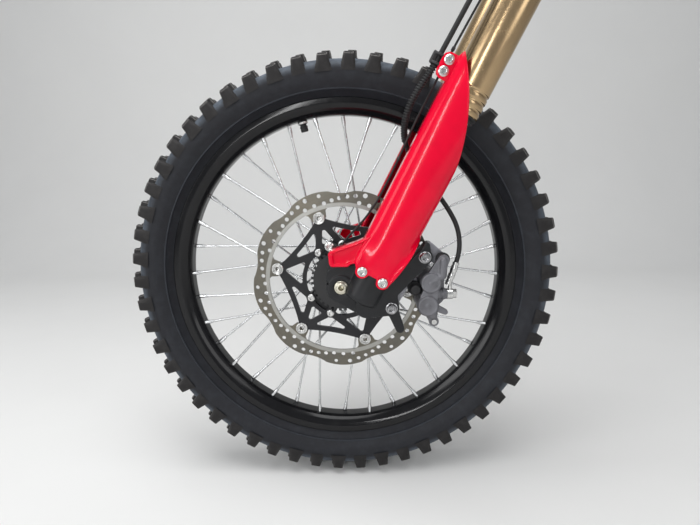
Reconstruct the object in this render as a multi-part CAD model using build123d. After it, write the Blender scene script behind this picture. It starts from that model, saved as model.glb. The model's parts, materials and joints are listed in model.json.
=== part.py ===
from build123d import *

import os
from math import copysign, cos, hypot, pi, radians, sin, tan

os.makedirs("parts", exist_ok=True)

# Front wheel and fork of a dual sport motorcycle, in millimetres and degrees.
# The wheel parts are drawn about the axle, with Y along it. The fork parts are
# drawn in the leg frame: X is n, rearward and square to the legs, Z is s, up the
# legs, and both start at the axle. lean() then tips the leg frame back by the rake.
# The rider's left is -Y, forward is -X, and up is +Z.

# Steering geometry
RAKE = 27.5
LEG_Y = 100.0
LEG_N = 34.0
STEM_BEHIND_LEGS = 31.0
STEM_N = LEG_N + STEM_BEHIND_LEGS

# Clearances
SEAT = 0.1
SHAFT_GAP = 0.05
RUN_GAP = 0.4

# Tyre, 80/100-21
RIM_SEAT_R = 266.7
TYRE_SECTION_H = 83.5
TYRE_HALF_W = 45.0
KNOB_H = 12.0
CASING_R = RIM_SEAT_R + TYRE_SECTION_H - KNOB_H
CROWN_ARC_R = 68.0
CROWN_EDGE_ANGLE = 15.5
SHOULDER_ANGLE = 35.0
CASING_HALF_W = 39.5
WAIST_SHARE = 0.52
CASING_WALL = 5.0
BEAD_W = 7.0
KNOB_ROWS = 54
KNOB_TAPER = 6.0
KNOB_ROOT = 3.0
# kind of row, angle from the crown, length round the tyre, width across, phase of a pitch
KNOB_TABLE = (
    ("even", 8.5, 15.5, 14.0, 0.0),
    ("even", 28.5, 18.0, 13.0, 0.12),
    ("odd", 8.5, 15.5, 14.0, 0.0),
    ("odd", 24.5, 17.0, 12.0, 0.12),
)

# Rim, 1.60-21, and spokes
RIM_INNER_W = 40.6
FLANGE_H = 12.3
FLANGE_T = 3.0
RIM_BED_R = 253.5
SPOKES = 36
SPOKE_R = 1.9
SPOKE_START = -0.7
SPOKE_CROSS_ANGLE = 60.0
SPOKE_RIM_Y = 7.0
SPOKE_HEAD_R = 3.4
SPOKE_LIFT = 1.6
NIPPLE_R = 3.4
NIPPLE_L = 15.0
VALVE_ANGLE = 104.0
VALVE_R = 7.5
VALVE_L = 17.0
VALVE_FIT = 0.15

# Hub
AXLE_R = 10.0
HUB_BARREL_R = 24.0
BEARING_R = 23.5
BEARING_W = 14.0
HUB_WALL = 5.0
SPOKE_CIRCLE_R = 40.0
SPOKE_FLANGE_R = 45.5
SPOKE_FLANGE_Y = 34.0
SPOKE_FLANGE_T = 6.0
HUB_LEFT_Y = -53.0
HUB_RIGHT_Y = 47.0
DISC_PAD_T = 8.0
DISC_PAD_R = 6.5

# Brake disc and its carrier
DISC_R = 141.5
DISC_WAVE = 6.5
DISC_CREST = 0.30
DISC_LOBES = 9
DISC_LOBE_START = 110.0
DISC_INNER_R = 115.0
DISC_T = 3.5
CARRIER_T = 5.0
DISC_Y = HUB_LEFT_Y - CARRIER_T / 2
BUTTON_CIRCLE_R = 103.0
BUTTON_START = 49.5
BUTTONS = 6
BUTTON_R = 8.0
BUTTON_PROUD = 1.8
LUG_R = 11.5
LUG_CUT = 2.0
# holes of each lobe: angle past its crest, radius of the place, radius of the hole
DISC_HOLES = (
    (-5.5, 135.0, 3.0),
    (4.0, 135.3, 3.6),
    (10.2, 132.2, 3.2),
    (15.7, 130.0, 3.2),
    (21.2, 127.5, 3.2),
    (26.5, 125.0, 3.2),
    (32.3, 122.5, 3.2),
    (39.5, 122.8, 3.2),
    (46.9, 122.5, 3.2),
)
DISC_BOLT_CIRCLE_R = 57.0
DISC_BOLT_START = 109.5
DISC_BOLT_ARMS = 3
DISC_BOLT_SPREAD = 20.0
DISC_BOLT_R = 3.0
DISC_HEAD_R = 6.4
DISC_HEAD_H = 3.6
CARRIER_RING_R = 63.0
CARRIER_WINDOW_R = 56.5
CARRIER_ARM_W = 9.0
CARRIER_RIM_W = 7.5
CARRIER_BOW = 4.0
CARRIER_FILLET_R = 3.0
TONE_R = 49.0
TONE_INNER_R = 30.0
TONE_T = 2.5
TONE_TEETH = 36
TONE_NOTCH = (7.0, 4.2)
TONE_STAND_OUT = 3.5

# Fork legs
INNER_TUBE_R = 21.5
INNER_TUBE_WALL = 2.0
INNER_TUBE_FOOT_S = 6.0
INNER_TUBE_TOP_S = 520.0
OUTER_TUBE_R = 29.0
OUTER_TUBE_FOOT_S = 292.0
OUTER_TUBE_TOP_S = 812.0
OUTER_TOP_R = 27.5
OUTER_STEP_S = 640.0
GROOVES_S = (302.0, 313.0, 324.0)
GROOVE_W = 4.0
GROOVE_DEPTH = 1.2
SEAL_H = 8.0
SEAL_R = 26.0

# Axle holders
SOCKET_R = 28.0
SOCKET_TOP_S = 62.0
SOCKET_FLAT_Y = 75.2
HOLDER_OUT_Y = 109.0
HOLDER_IN_Y = 74.0
AXLE_BOSS_R = 22.5
HOLDER_BROW = (-15.5, 13.5)
HOLDER_BROW_R = 13.0
CALIPER_LUG_R = 11.5
CALIPER_LUG_T = 22.0
CALIPER_BOLT_R = 5.0
CALIPER_LUGS = ((79.2, 7.3), (86.6, 96.0))
HOLDER_FOOT = (46.0, -8.0)
HOLDER_FOOT_R = 17.0
ARM_WAIST = (66.0, 30.0)
ARM_WAIST_R = 12.5
ARM_OUT_Y = 115.0
ARM_FINGER = (104.9, -15.3)
ARM_FINGER_R = 6.5
ARM_TIP = (81.5, 112.0)
ARM_TIP_R = 4.5
COLLAR_R = 15.5
AXLE_HEAD_R = 15.0

# Fork guards
GUARD_OUT_Y = 134.0
GUARD_WALL = 3.0
GUARD_IN_Y = 90.0
GUARD_FRONT_N = -3.0
GUARD_REAR_N = 69.0
GUARD_CORNER_R = 17.0
GUARD_LOBE_R = 10.0
GUARD_LOW_BOLTS = ((14.5, 40.0), (47.7, 38.3))
GUARD_TOP_BOLTS = ((-10.5, 327.0), (-10.5, 343.0))
GUARD_BOLT_R = 3.0
GUARD_BOLT_L = 14.0
GUARD_HEAD_R = 7.0
NOSE_SET_IN = 5.0
NOSE_IN_Y = 103.0
EAR_SET_IN = 12.0
CLAMP_PLATE_T = 3.0
CLAMP_BLOCK_H = 12.0

# Brake caliper, its slide pins and the hose
PISTON_CENTRES = ((131.0, 6.3), (127.0, -28.0))
PISTON_HOUSING_R = 16.0
CALIPER_OUT_Y = -112.0
PAD_T = 8.0
CALIPER_JAW_T = 7.0
BRIDGE_GAP = 5.0
BRIDGE_ENDS = ((143.5, 3.0), (143.5, -20.0))
BRIDGE_END_R = 9.0
BRIDGE_SET_IN = 16.0
FRONT_PIN = (108.5, -4.0)
UPPER_PIN = (148.5, 39.0)
PIN_R = 4.0
PIN_BOOT_R = 8.0
FRONT_BOOT_R = 10.5
PAD_PIN = (137.3, -55.0)
PAD_PIN_END_Y = -66.0
BLEED_END = (154.0, -41.0)
BRACKET_T = 8.8
BRACKET_ELBOW = (102.0, 16.0)
BRACKET_HORN = (127.5, 57.0)
EAR_T = 8.0
BANJO_Y = -98.0
BANJO_Z = -13.0
BANJO_BOSS_R = 8.0
BANJO_BOSS_END_X = 156.0
BANJO_T = 8.0
BANJO_BOLT_R = 4.5
BANJO_THREAD = 9.0
BANJO_HEAD_R = 7.0
BANJO_HEAD_H = 6.0
HOSE_R = 3.5
WIRE_R = 1.6
HOSE_BORE_GAP = 0.5

# Directions
AFT = (1, 0, 0)
FORE = (-1, 0, 0)

# Hose and wire routes in the leg frame: n, y, s
HOSE_ROUTE = (
    (138.0, BANJO_Y, 83.0),
    (135.5, -97.5, 104.0),
    (129.8, -94.0, 129.6),
    (113.3, -88.0, 154.8),
    (88.4, -80.0, 172.3),
    (57.8, -74.0, 187.9),
    (25.3, -72.0, 202.6),
    (-1.8, -77.0, 217.8),
    (-21.8, -91.0, 238.9),
    (-30.5, -106.0, 267.8),
    (-29.2, -114.0, 299.0),
    (-24.6, -115.5, 326.0),
    (-23.8, -115.5, 352.0),
    (-22.4, -114.6, 392.0),
    (-21.2, -113.0, 436.0),
    (-19.7, -111.0, 480.0),
    (-18.3, -109.0, 522.0),
    (-17.6, -108.0, 558.0),
)
WIRE_ROUTE = (
    (-27.0, -97.0, 52.0),
    (-25.0, -95.5, 68.0),
    (-18.0, -92.0, 88.0),
    (-12.5, -91.0, 110.0),
    (-9.0, -92.0, 140.0),
    (-9.0, -97.0, 172.0),
    (-10.0, -100.0, 205.0),
    (-12.0, -102.5, 240.0),
    (-13.0, -104.0, 275.0),
    (-12.6, -104.6, 310.0),
    (-12.0, -104.7, 345.0),
    (-10.5, -104.0, 390.0),
    (-8.5, -102.0, 435.0),
    (-6.8, -99.0, 480.0),
    (-5.8, -96.0, 518.0),
    (-5.5, -95.0, 548.0),
)

# Wheel speed sensor
SENSOR = (-27.0, 40.0)
SENSOR_R = 7.0
SENSOR_GAP = 1.5
SENSOR_BOLT = (-42.0, 44.0)
SENSOR_EAR_T = 12.0
SENSOR_FLANGE_T = 4.0

# Triple clamps, stem and head bearings
LOWER_CLAMP_S = 572.0
LOWER_CLAMP_H = 32.0
UPPER_CLAMP_S = 778.0
UPPER_CLAMP_H = 20.0
CLAMP_WALL = 9.0
STEM_R = 15.0
STEM_TOP_R = 12.0
STEM_BORE_R = 9.0
STEM_BOSS_R = 26.0
STEM_NUT_H = 11.0
UNION_THREAD = 8.0
LUG_HALF_W = 14.0
LUG_FRONT_N = -14.0
PINCH_SLOT = 2.4
PINCH_BOLT_R = 3.5
PINCH_BOLT_N = -4.0
PINCH_HEAD_R = 6.0
PINCH_HEAD_H = 7.0
BAR_HOLE_R = 6.0
BAR_HOLES_N = 52.0
BAR_HOLES_Y = 50.0
FENDER_HOLE_R = 3.2
FENDER_HOLES_N = 38.0
FENDER_HOLES_Y = 32.0
RACE_R = 27.5
RACE_W = 13.0
RACE_TOP_R = 21.5
RACE_FOOT_R = 24.0
HEAD_TUBE_L = 160.0
LOWER_RACE_S = LOWER_CLAMP_S + LOWER_CLAMP_H + 8.0
UPPER_RACE_S = LOWER_RACE_S + HEAD_TUBE_L - RACE_W


def polar(radius, angle):
    """Point at a radius and angle in a plane seen from the rider's left."""
    return (radius * cos(radians(angle)), radius * sin(radians(angle)))


def side_plane(y):
    """Plane square to the axle at y: its x is X, its y is Z, its normal is -Y."""
    return Plane.XZ.offset(-y)


def slab(sketch, y_low, y_high):
    """A sketch in the side view made solid between two y values."""
    return extrude(side_plane(y_high) * sketch, y_high - y_low)


def rod(x, z, radius, y_low, y_high):
    """A round bar along Y."""
    return slab(Pos(x, z) * Circle(radius), y_low, y_high)


def bar(origin, direction, radius, length):
    """A round bar of a length from an origin along a direction."""
    return extrude(Plane(origin=origin, z_dir=direction) * Circle(radius), length)


def belt(first, first_r, second, second_r):
    """The sketch that a belt round two circles encloses."""
    one = Pos(*first) * Circle(first_r)
    two = Pos(*second) * Circle(second_r)
    return make_hull([one.edge(), two.edge()])


def turned(points, axis=Axis.Y):
    """A ring turned about the axle from (r, y) corners."""
    return revolve(make_face(Polyline(*points, close=True)), axis)


def leg_turned(points, n, y):
    """A ring turned about a line along the leg from (r, s) corners."""
    ring = revolve(Plane.XZ * make_face(Polyline(*points, close=True)), Axis.Z)
    return Pos(n, y, 0) * ring


def about_axle(solid, angle):
    """A copy turned about the axle by an angle as seen from the rider's left."""
    return Rot(0, -angle, 0) * solid


def lean(solid):
    """From the leg frame to the standing frame."""
    return Rot(0, RAKE, 0) * solid


def unlean(solid):
    """From the standing frame to the leg frame."""
    return Rot(0, -RAKE, 0) * solid


def both(left):
    """A left piece and its mirror image on the right."""
    return left, mirror(left, Plane.XZ)


ORIGIN = (lean(Pos(STEM_N, 0, LOWER_RACE_S) * Vertex(0, 0, 0))).center()


def save(name, shapes):
    """One node, moved so that the lower head bearing is at the origin."""
    moved = [Pos(-ORIGIN) * solid for shape in shapes for solid in shape.solids()]
    node = moved[0] if len(moved) == 1 else Compound(children=moved)
    node.label = name
    export_step(node, f"parts/{name}.step")
    print(name, len(moved))


def crown_point(angle, depth):
    """(r, y) of a point under the crown's arc, at an angle from its middle."""
    radius = CROWN_ARC_R - depth
    return (CASING_R - CROWN_ARC_R + radius * cos(radians(angle)), radius * sin(radians(angle)))


def tyre_section():
    """Half section of the casing as (r, y) corners: outside from the crown to the bead, then back inside."""
    bead_r = RIM_SEAT_R + SEAT
    bead_y = RIM_INNER_W / 2 - SEAT
    bead_top_r = RIM_SEAT_R + FLANGE_H + 1.0
    waist_r = RIM_SEAT_R + WAIST_SHARE * (CASING_R - RIM_SEAT_R)
    return [
        crown_point(CROWN_EDGE_ANGLE, 0),
        crown_point(SHOULDER_ANGLE, 0),
        (waist_r, CASING_HALF_W),
        ((waist_r + bead_top_r) / 2, (CASING_HALF_W + bead_y) / 2 + 2.5),
        (bead_top_r, bead_y),
        (bead_r, bead_y),
        (bead_r, bead_y - BEAD_W),
        (bead_top_r + 3.0, bead_y - CASING_WALL),
        (waist_r, CASING_HALF_W - CASING_WALL),
        crown_point(SHOULDER_ANGLE, CASING_WALL),
        crown_point(CROWN_EDGE_ANGLE, CASING_WALL),
    ]


def tyre_row(kind):
    """One flat-sided row of the tyre, a wedge of its ring, with the blocks of that kind of row."""
    half_turn = radians(180.0 / KNOB_ROWS)
    reach = RIM_SEAT_R + 2 * TYRE_SECTION_H
    half = tyre_section()
    outline = Polyline(*half, *[(r, -y) for r, y in reversed(half)], close=True)
    straight = Pos(0, 0, -TYRE_HALF_W) * extrude(make_face(outline), 2 * TYRE_HALF_W)
    wedge_face = make_face(
        Polyline((0, 0), (reach, reach * tan(half_turn)), (reach, -reach * tan(half_turn)), close=True)
    )
    row = straight & slab(wedge_face, -TYRE_HALF_W, TYRE_HALF_W)
    for row_kind, angle, length, width, phase in KNOB_TABLE:
        for side in (-1, 1) if row_kind == kind else ():
            foot = crown_point(side * angle, KNOB_ROOT)
            normal = (cos(radians(angle)), side * sin(radians(angle)), 0)
            plane = Plane(origin=(*foot, 0), x_dir=(0, 0, 1), z_dir=normal)
            block = extrude(plane * Rectangle(length, width), KNOB_ROOT + KNOB_H, taper=KNOB_TAPER)
            row += about_axle(block, phase * 360.0 / KNOB_ROWS)
    return row


def tyre():
    """Casing with beads on the rim seat and four blocks across each of its rows."""
    rows = {kind: tyre_row(kind) for kind in ("even", "odd")}
    pitch = 360.0 / KNOB_ROWS
    ring = [about_axle(rows[("even", "odd")[index % 2]], index * pitch) for index in range(KNOB_ROWS)]
    return ring[0].fuse(*ring[1:])


def rim():
    """Drop-centre rim: flanges, bead seats, well and a narrow inner bed."""
    half = RIM_INNER_W / 2
    tip_r = RIM_SEAT_R + FLANGE_H
    well_r = RIM_BED_R + 4.5
    outline = [
        (tip_r, half),
        (tip_r, half + FLANGE_T),
        (tip_r - 9.0, half + FLANGE_T),
        (tip_r - 14.0, half + 1.0),
        (RIM_BED_R + 6.5, half - 3.0),
        (RIM_BED_R + 1.0, half - 8.0),
        (RIM_BED_R, half - 11.0),
    ]
    inside = [
        (RIM_SEAT_R, half),
        (RIM_SEAT_R, half - 7.0),
        (well_r, half - 10.5),
    ]
    points = outline + [(r, -y) for r, y in reversed(outline)] + [(r, -y) for r, y in inside]
    points += list(reversed(inside))
    return turned(points)


def spoke_ends(index):
    """Rim end, elbow and head end of one spoke, from the three-cross lacing."""
    turn = 360.0 / SPOKES
    side = -1 if index % 2 == 0 else 1
    hand = 1 if index % 4 in (0, 3) else -1
    angle = SPOKE_START + turn * index
    tilt_room = NIPPLE_R * hypot(SPOKE_CIRCLE_R, SPOKE_FLANGE_Y) / RIM_BED_R
    rim_x, rim_z = polar(RIM_BED_R - SEAT - tilt_room, angle)
    hub_x, hub_z = polar(SPOKE_CIRCLE_R, angle + hand * SPOKE_CROSS_ANGLE)
    stand = SPOKE_FLANGE_T / 2 + SPOKE_R + SEAT
    elbow_lift = -stand if hand > 0 else stand + SPOKE_LIFT
    elbow_y = side * (SPOKE_FLANGE_Y + elbow_lift)
    head_y = side * (SPOKE_FLANGE_Y + hand * stand)
    return (rim_x, side * SPOKE_RIM_Y, rim_z), (hub_x, elbow_y, hub_z), (hub_x, head_y, hub_z)


def spokes():
    """Thirty-six spokes: a wire mitred at its elbow, with its nipple and head in one solid."""
    family = []
    taper_l = 0.3 * NIPPLE_L
    for index in range(4):
        rim_end, elbow, head = spoke_ends(index)
        start = Plane(origin=rim_end, z_dir=Vector(*elbow) - Vector(*rim_end))
        wire = sweep(start * Circle(SPOKE_R), Polyline(rim_end, elbow, head), transition=Transition.RIGHT)
        nipple = extrude(start * Circle(NIPPLE_R), NIPPLE_L - taper_l)
        taper = Solid.make_cone(NIPPLE_R, SPOKE_R + 0.4, taper_l, start.offset(NIPPLE_L - taper_l))
        low_y, high_y = sorted((head[1] - copysign(SPOKE_R, head[1] - elbow[1]), head[1]))
        cap = rod(elbow[0], elbow[2], SPOKE_HEAD_R, low_y, high_y)
        family.append(wire + nipple + taper + cap)
    turn = 360.0 / SPOKES
    return [about_axle(family[i % 4], turn * 4 * (i // 4)) for i in range(SPOKES)]


def disc_bolt_places():
    """Places of the disc bolts: a pair on each arm."""
    middles = [DISC_BOLT_START + arm * 360.0 / DISC_BOLT_ARMS for arm in range(DISC_BOLT_ARMS)]
    return [polar(DISC_BOLT_CIRCLE_R, m + side * DISC_BOLT_SPREAD) for m in middles for side in (-1, 1)]


def hub():
    """Barrel with two drilled spoke flanges, bearing seats and three disc pads."""
    neck_r = BEARING_R + HUB_WALL
    web_r = SPOKE_FLANGE_R - 12.0
    bore = AXLE_R + 3.0
    low = SPOKE_FLANGE_Y - SPOKE_FLANGE_T / 2
    high = SPOKE_FLANGE_Y + SPOKE_FLANGE_T / 2
    left_floor = HUB_LEFT_Y + BEARING_W
    right_floor = HUB_RIGHT_Y - BEARING_W
    outside = []
    for side in (-1, 1):
        end_y = HUB_LEFT_Y if side < 0 else HUB_RIGHT_Y
        half = [
            (BEARING_R, end_y),
            (neck_r, end_y),
            (neck_r, side * (high + 3.0)),
            (web_r, side * high),
            (SPOKE_FLANGE_R, side * high),
            (SPOKE_FLANGE_R, side * low),
            (web_r, side * low),
            (HUB_BARREL_R, side * (low - 12.0)),
        ]
        outside += half if side < 0 else list(reversed(half))
    inside = [(BEARING_R, right_floor), (bore, right_floor), (bore, left_floor), (BEARING_R, left_floor)]
    body = turned(outside + inside)
    pads = []
    bolts = disc_bolt_places()
    for arm in range(DISC_BOLT_ARMS):
        middle = DISC_BOLT_START + arm * 360.0 / DISC_BOLT_ARMS
        pair = bolts[2 * arm : 2 * arm + 2]
        rings = [(Pos(*place) * Circle(DISC_PAD_R)).edge() for place in pair]
        foot = (Pos(*polar(8.0, middle)) * Circle(18.0)).edge()
        face = make_hull(rings + [foot]) - Circle(BEARING_R + HUB_WALL / 2)
        for place in pair:
            face -= Pos(*place) * Circle(DISC_BOLT_R + SEAT)
        pads.append(slab(face, HUB_LEFT_Y, HUB_LEFT_Y + DISC_PAD_T))
    body = body.fuse(*pads)
    drills = []
    for index in range(SPOKES):
        _, elbow, head = spoke_ends(index)
        low_y, high_y = sorted((elbow[1], head[1]))
        drills.append(rod(elbow[0], elbow[2], SPOKE_R + SEAT, low_y, high_y))
    return body.cut(*drills)


def hub_bearings():
    """Two sealed bearings in the hub."""
    inner_r = AXLE_R + SHAFT_GAP
    outer_r = BEARING_R - SEAT
    rings = []
    for low_y in (HUB_LEFT_Y + SEAT, HUB_RIGHT_Y - BEARING_W + SEAT):
        high_y = low_y + BEARING_W - 2 * SEAT
        rings.append(turned([(inner_r, low_y), (outer_r, low_y), (outer_r, high_y), (inner_r, high_y)]))
    return rings


def disc_outline():
    """Wavy outer edge: one outward and one inward arc for each lobe."""
    lobe = 360.0 / DISC_LOBES
    crest = DISC_CREST * lobe
    low_r = DISC_R - DISC_WAVE
    mid_r = DISC_R - 0.35 * DISC_WAVE
    edges = []
    for index in range(DISC_LOBES):
        middle = DISC_LOBE_START + index * lobe
        start, end = polar(mid_r, middle - crest), polar(mid_r, middle + crest)
        following = polar(mid_r, middle + lobe - crest)
        edges.append(ThreePointArc(start, polar(DISC_R, middle), end))
        edges.append(ThreePointArc(end, polar(low_r, middle + lobe / 2), following))
    return make_face(edges)


def button_angles():
    """Angles of the float buttons."""
    return [BUTTON_START + index * 360.0 / BUTTONS for index in range(BUTTONS)]


def brake_disc():
    """Wavy drilled ring with six lugs inside that carry the float buttons."""
    face = disc_outline() - Circle(DISC_INNER_R)
    for angle in button_angles():
        lug = belt(polar(BUTTON_CIRCLE_R, angle), LUG_R, polar(DISC_INNER_R + 4.0, angle), LUG_R + 4.0)
        face += lug - Circle(BUTTON_CIRCLE_R - LUG_CUT)
    for angle in button_angles():
        face -= Pos(*polar(BUTTON_CIRCLE_R, angle)) * Circle(BUTTON_R + SEAT)
    for lobe in range(DISC_LOBES):
        crest = DISC_LOBE_START + lobe * 360.0 / DISC_LOBES
        for angle, radius, hole_r in DISC_HOLES:
            face -= Pos(*polar(radius, crest + angle)) * Circle(hole_r)
    return slab(face, DISC_Y - DISC_T / 2, DISC_Y + DISC_T / 2)


def disc_carrier():
    """Six-cornered carrier: bowed struts between the buttons, a V of arms from each to the bolts."""
    angles = button_angles()
    corners = [polar(BUTTON_CIRCLE_R - LUG_CUT, angle) for angle in angles]
    bolts = disc_bolt_places()
    half_w = CARRIER_ARM_W / 2
    bow_r = (BUTTON_CIRCLE_R - LUG_CUT) * cos(radians(180.0 / BUTTONS)) - CARRIER_BOW
    face = Circle(CARRIER_RING_R) - Circle(CARRIER_WINDOW_R)
    for place in bolts:
        face += Pos(*place) * Circle(DISC_PAD_R + 1.5)
    for index, corner in enumerate(corners):
        face += Pos(*corner) * Circle(BUTTON_R + 1.5)
        bow = polar(bow_r, angles[index] + 180.0 / BUTTONS)
        face += trace(ThreePointArc(corner, bow, corners[(index + 1) % BUTTONS]), CARRIER_RIM_W)
        nearest = sorted(bolts, key=lambda p: hypot(p[0] - corner[0], p[1] - corner[1]))[:2]
        for place in nearest:
            face += belt(corner, half_w, place, half_w + 0.5)
    face = offset(offset(face, CARRIER_FILLET_R), -CARRIER_FILLET_R)
    for angle in angles:
        face -= Pos(*polar(BUTTON_CIRCLE_R, angle)) * Circle(BUTTON_R + SEAT)
        lug_r = LUG_R + RUN_GAP
        lug = belt(polar(BUTTON_CIRCLE_R, angle), lug_r, polar(DISC_INNER_R + 4.0, angle), lug_r + 4.0)
        face -= lug - Circle(BUTTON_CIRCLE_R - LUG_CUT - RUN_GAP)
    face &= Circle(DISC_INNER_R - RUN_GAP)
    for place in bolts:
        face -= Pos(*place) * Circle(DISC_BOLT_R + SEAT)
    return slab(face, HUB_LEFT_Y - CARRIER_T, HUB_LEFT_Y)


def disc_buttons():
    """Float buttons: a drum through disc and carrier with a dished outer face."""
    outer_y = DISC_Y - CARRIER_T / 2 - BUTTON_PROUD
    inner_y = DISC_Y + CARRIER_T / 2 + BUTTON_PROUD
    drum = turned(
        [
            (2.6, outer_y + 1.0),
            (BUTTON_R - 2.0, outer_y + 1.0),
            (BUTTON_R - 1.2, outer_y),
            (BUTTON_R, outer_y + 0.6),
            (BUTTON_R, inner_y),
            (2.6, inner_y),
        ]
    )
    return [Pos(x, 0, z) * drum for x, z in (polar(BUTTON_CIRCLE_R, a) for a in button_angles())]


def disc_bolts():
    """Six bolts through the carrier into the hub."""
    seat_y = HUB_LEFT_Y - CARRIER_T
    end_y = HUB_LEFT_Y + DISC_PAD_T
    bolt = turned(
        [
            (0, seat_y - DISC_HEAD_H),
            (5.2, seat_y - DISC_HEAD_H),
            (DISC_HEAD_R, seat_y - 1.4),
            (DISC_HEAD_R, seat_y),
            (DISC_BOLT_R, seat_y),
            (DISC_BOLT_R, end_y),
            (0, end_y),
        ]
    )
    return [Pos(x, 0, z) * bolt for x, z in disc_bolt_places()]


def tone_ring():
    """Toothed ring for the wheel speed sensor, on a neck off the hub's left end."""
    outer_y = HUB_LEFT_Y - CARRIER_T - TONE_STAND_OUT
    face = Circle(TONE_R) - Circle(TONE_INNER_R)
    notch = Pos(TONE_R, 0) * Rectangle(*TONE_NOTCH)
    for tooth in range(TONE_TEETH):
        face -= Rotation(0, 0, tooth * 360.0 / TONE_TEETH) * notch
    ring = slab(face, outer_y, outer_y + TONE_T)
    neck_r = BEARING_R + HUB_WALL
    neck = turned(
        [
            (BEARING_R + 1.0, outer_y),
            (TONE_INNER_R + 3.0, outer_y),
            (neck_r, HUB_LEFT_Y),
            (BEARING_R + 1.0, HUB_LEFT_Y),
        ]
    )
    return ring + neck


def valve():
    """Tyre valve: a stout base on the rim bed and its cap, pointing at the axle."""
    top = RIM_BED_R - SEAT - VALVE_FIT
    step = top - VALVE_L / 2
    end = top - VALVE_L
    base = [(0, top), (VALVE_R, top), (VALVE_R, step)]
    cap = [(VALVE_R - 1.0, step - 1.0), (VALVE_R - 1.5, end), (0, end)]
    stem = leg_turned(base + cap, 0, 0)
    return about_axle(stem, VALVE_ANGLE - 90.0)


def axle():
    """Axle with a hex socket in its left end and a head on the right."""
    left_end = -HOLDER_OUT_Y - 2.0
    right_end = HOLDER_OUT_Y + 7.0
    shaft = turned(
        [
            (0, left_end),
            (AXLE_R - 1.0, left_end),
            (AXLE_R, left_end + 1.0),
            (AXLE_R, HOLDER_OUT_Y),
            (AXLE_HEAD_R, HOLDER_OUT_Y),
            (AXLE_HEAD_R, right_end - 1.5),
            (AXLE_HEAD_R - 1.5, right_end),
            (0, right_end),
        ]
    )
    left_socket = slab(RegularPolygon(5.5, 6), left_end, left_end + 14.0)
    right_socket = slab(RegularPolygon(7.0, 6), right_end - 12.0, right_end)
    return shaft - left_socket - right_socket


def axle_collars():
    """Collars between the hub bearings and the axle holders."""
    bore = AXLE_R + SHAFT_GAP
    rings = []
    for low_y, high_y in ((-HOLDER_IN_Y, HUB_LEFT_Y), (HUB_RIGHT_Y, HOLDER_IN_Y)):
        rings.append(turned([(bore, low_y), (COLLAR_R, low_y), (COLLAR_R, high_y), (bore, high_y)]))
    return rings


def tube_room():
    """Space that the left inner tube takes in its socket."""
    return Pos(LEG_N, -LEG_Y, INNER_TUBE_FOOT_S) * extrude(Circle(INNER_TUBE_R + SEAT), 2 * SOCKET_TOP_S)


def guard_room(clearance):
    """Space inside the left guard's channel, less a clearance."""
    width = GUARD_REAR_N - GUARD_FRONT_N
    depth = GUARD_OUT_Y - GUARD_IN_Y
    wall = GUARD_WALL + clearance
    room = RectangleRounded(width - 2 * wall, 2 * (depth - wall), GUARD_CORNER_R - wall)
    return Pos((GUARD_FRONT_N + GUARD_REAR_N) / 2, -GUARD_IN_Y, -SOCKET_TOP_S) * extrude(room, 500.0)


def low_bolt_holes():
    """Holes of the two lower guard bolts through guard and holder."""
    radius = GUARD_BOLT_R + SEAT
    return [rod(n, s, radius, -GUARD_OUT_Y - 1.0, -GUARD_OUT_Y + GUARD_BOLT_L) for n, s in GUARD_LOW_BOLTS]


def axle_holder():
    """Left casting: tube socket, axle boss, foot, guard bosses and pinch slot."""
    profile = make_hull(
        [
            Circle(AXLE_BOSS_R).edge(),
            (Pos(*HOLDER_BROW) * Circle(HOLDER_BROW_R)).edge(),
            (Pos(*HOLDER_FOOT) * Circle(HOLDER_FOOT_R)).edge(),
            (Pos(LEG_N, 28.0) * Circle(SOCKET_R - 1.0)).edge(),
        ]
    )
    body = slab(profile, -HOLDER_OUT_Y, -HOLDER_IN_Y)
    socket = Pos(LEG_N, -LEG_Y, 0) * extrude(Circle(SOCKET_R), SOCKET_TOP_S)
    wheel_side = Pos(LEG_N, -SOCKET_FLAT_Y + SOCKET_R, 0) * Box(4 * SOCKET_R, 2 * SOCKET_R, 4 * SOCKET_TOP_S)
    body += socket - wheel_side
    bosses = [rod(n, s, GUARD_LOBE_R - 2.0, -GUARD_OUT_Y, -LEG_Y) for n, s in GUARD_LOW_BOLTS]
    for boss in bosses:
        body += boss & guard_room(SEAT)
    body -= tube_room()
    for reach, radius in (
        ((-HOLDER_OUT_Y, -HOLDER_IN_Y), AXLE_R + SHAFT_GAP),
        ((-2 * HOLDER_OUT_Y, -HOLDER_OUT_Y), AXLE_HEAD_R + 1.0),
        ((-HOLDER_IN_Y, 0), COLLAR_R + 1.0),
    ):
        body -= rod(0, 0, radius, *reach)
    for hole in low_bolt_holes():
        body -= hole
    slot_face = Pos(-AXLE_R - AXLE_BOSS_R / 2, -4.0) * Rectangle(AXLE_R + AXLE_BOSS_R, PINCH_SLOT)
    return body - slab(slot_face, -HOLDER_OUT_Y - 1.0, -HOLDER_IN_Y + 1.0)


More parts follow.
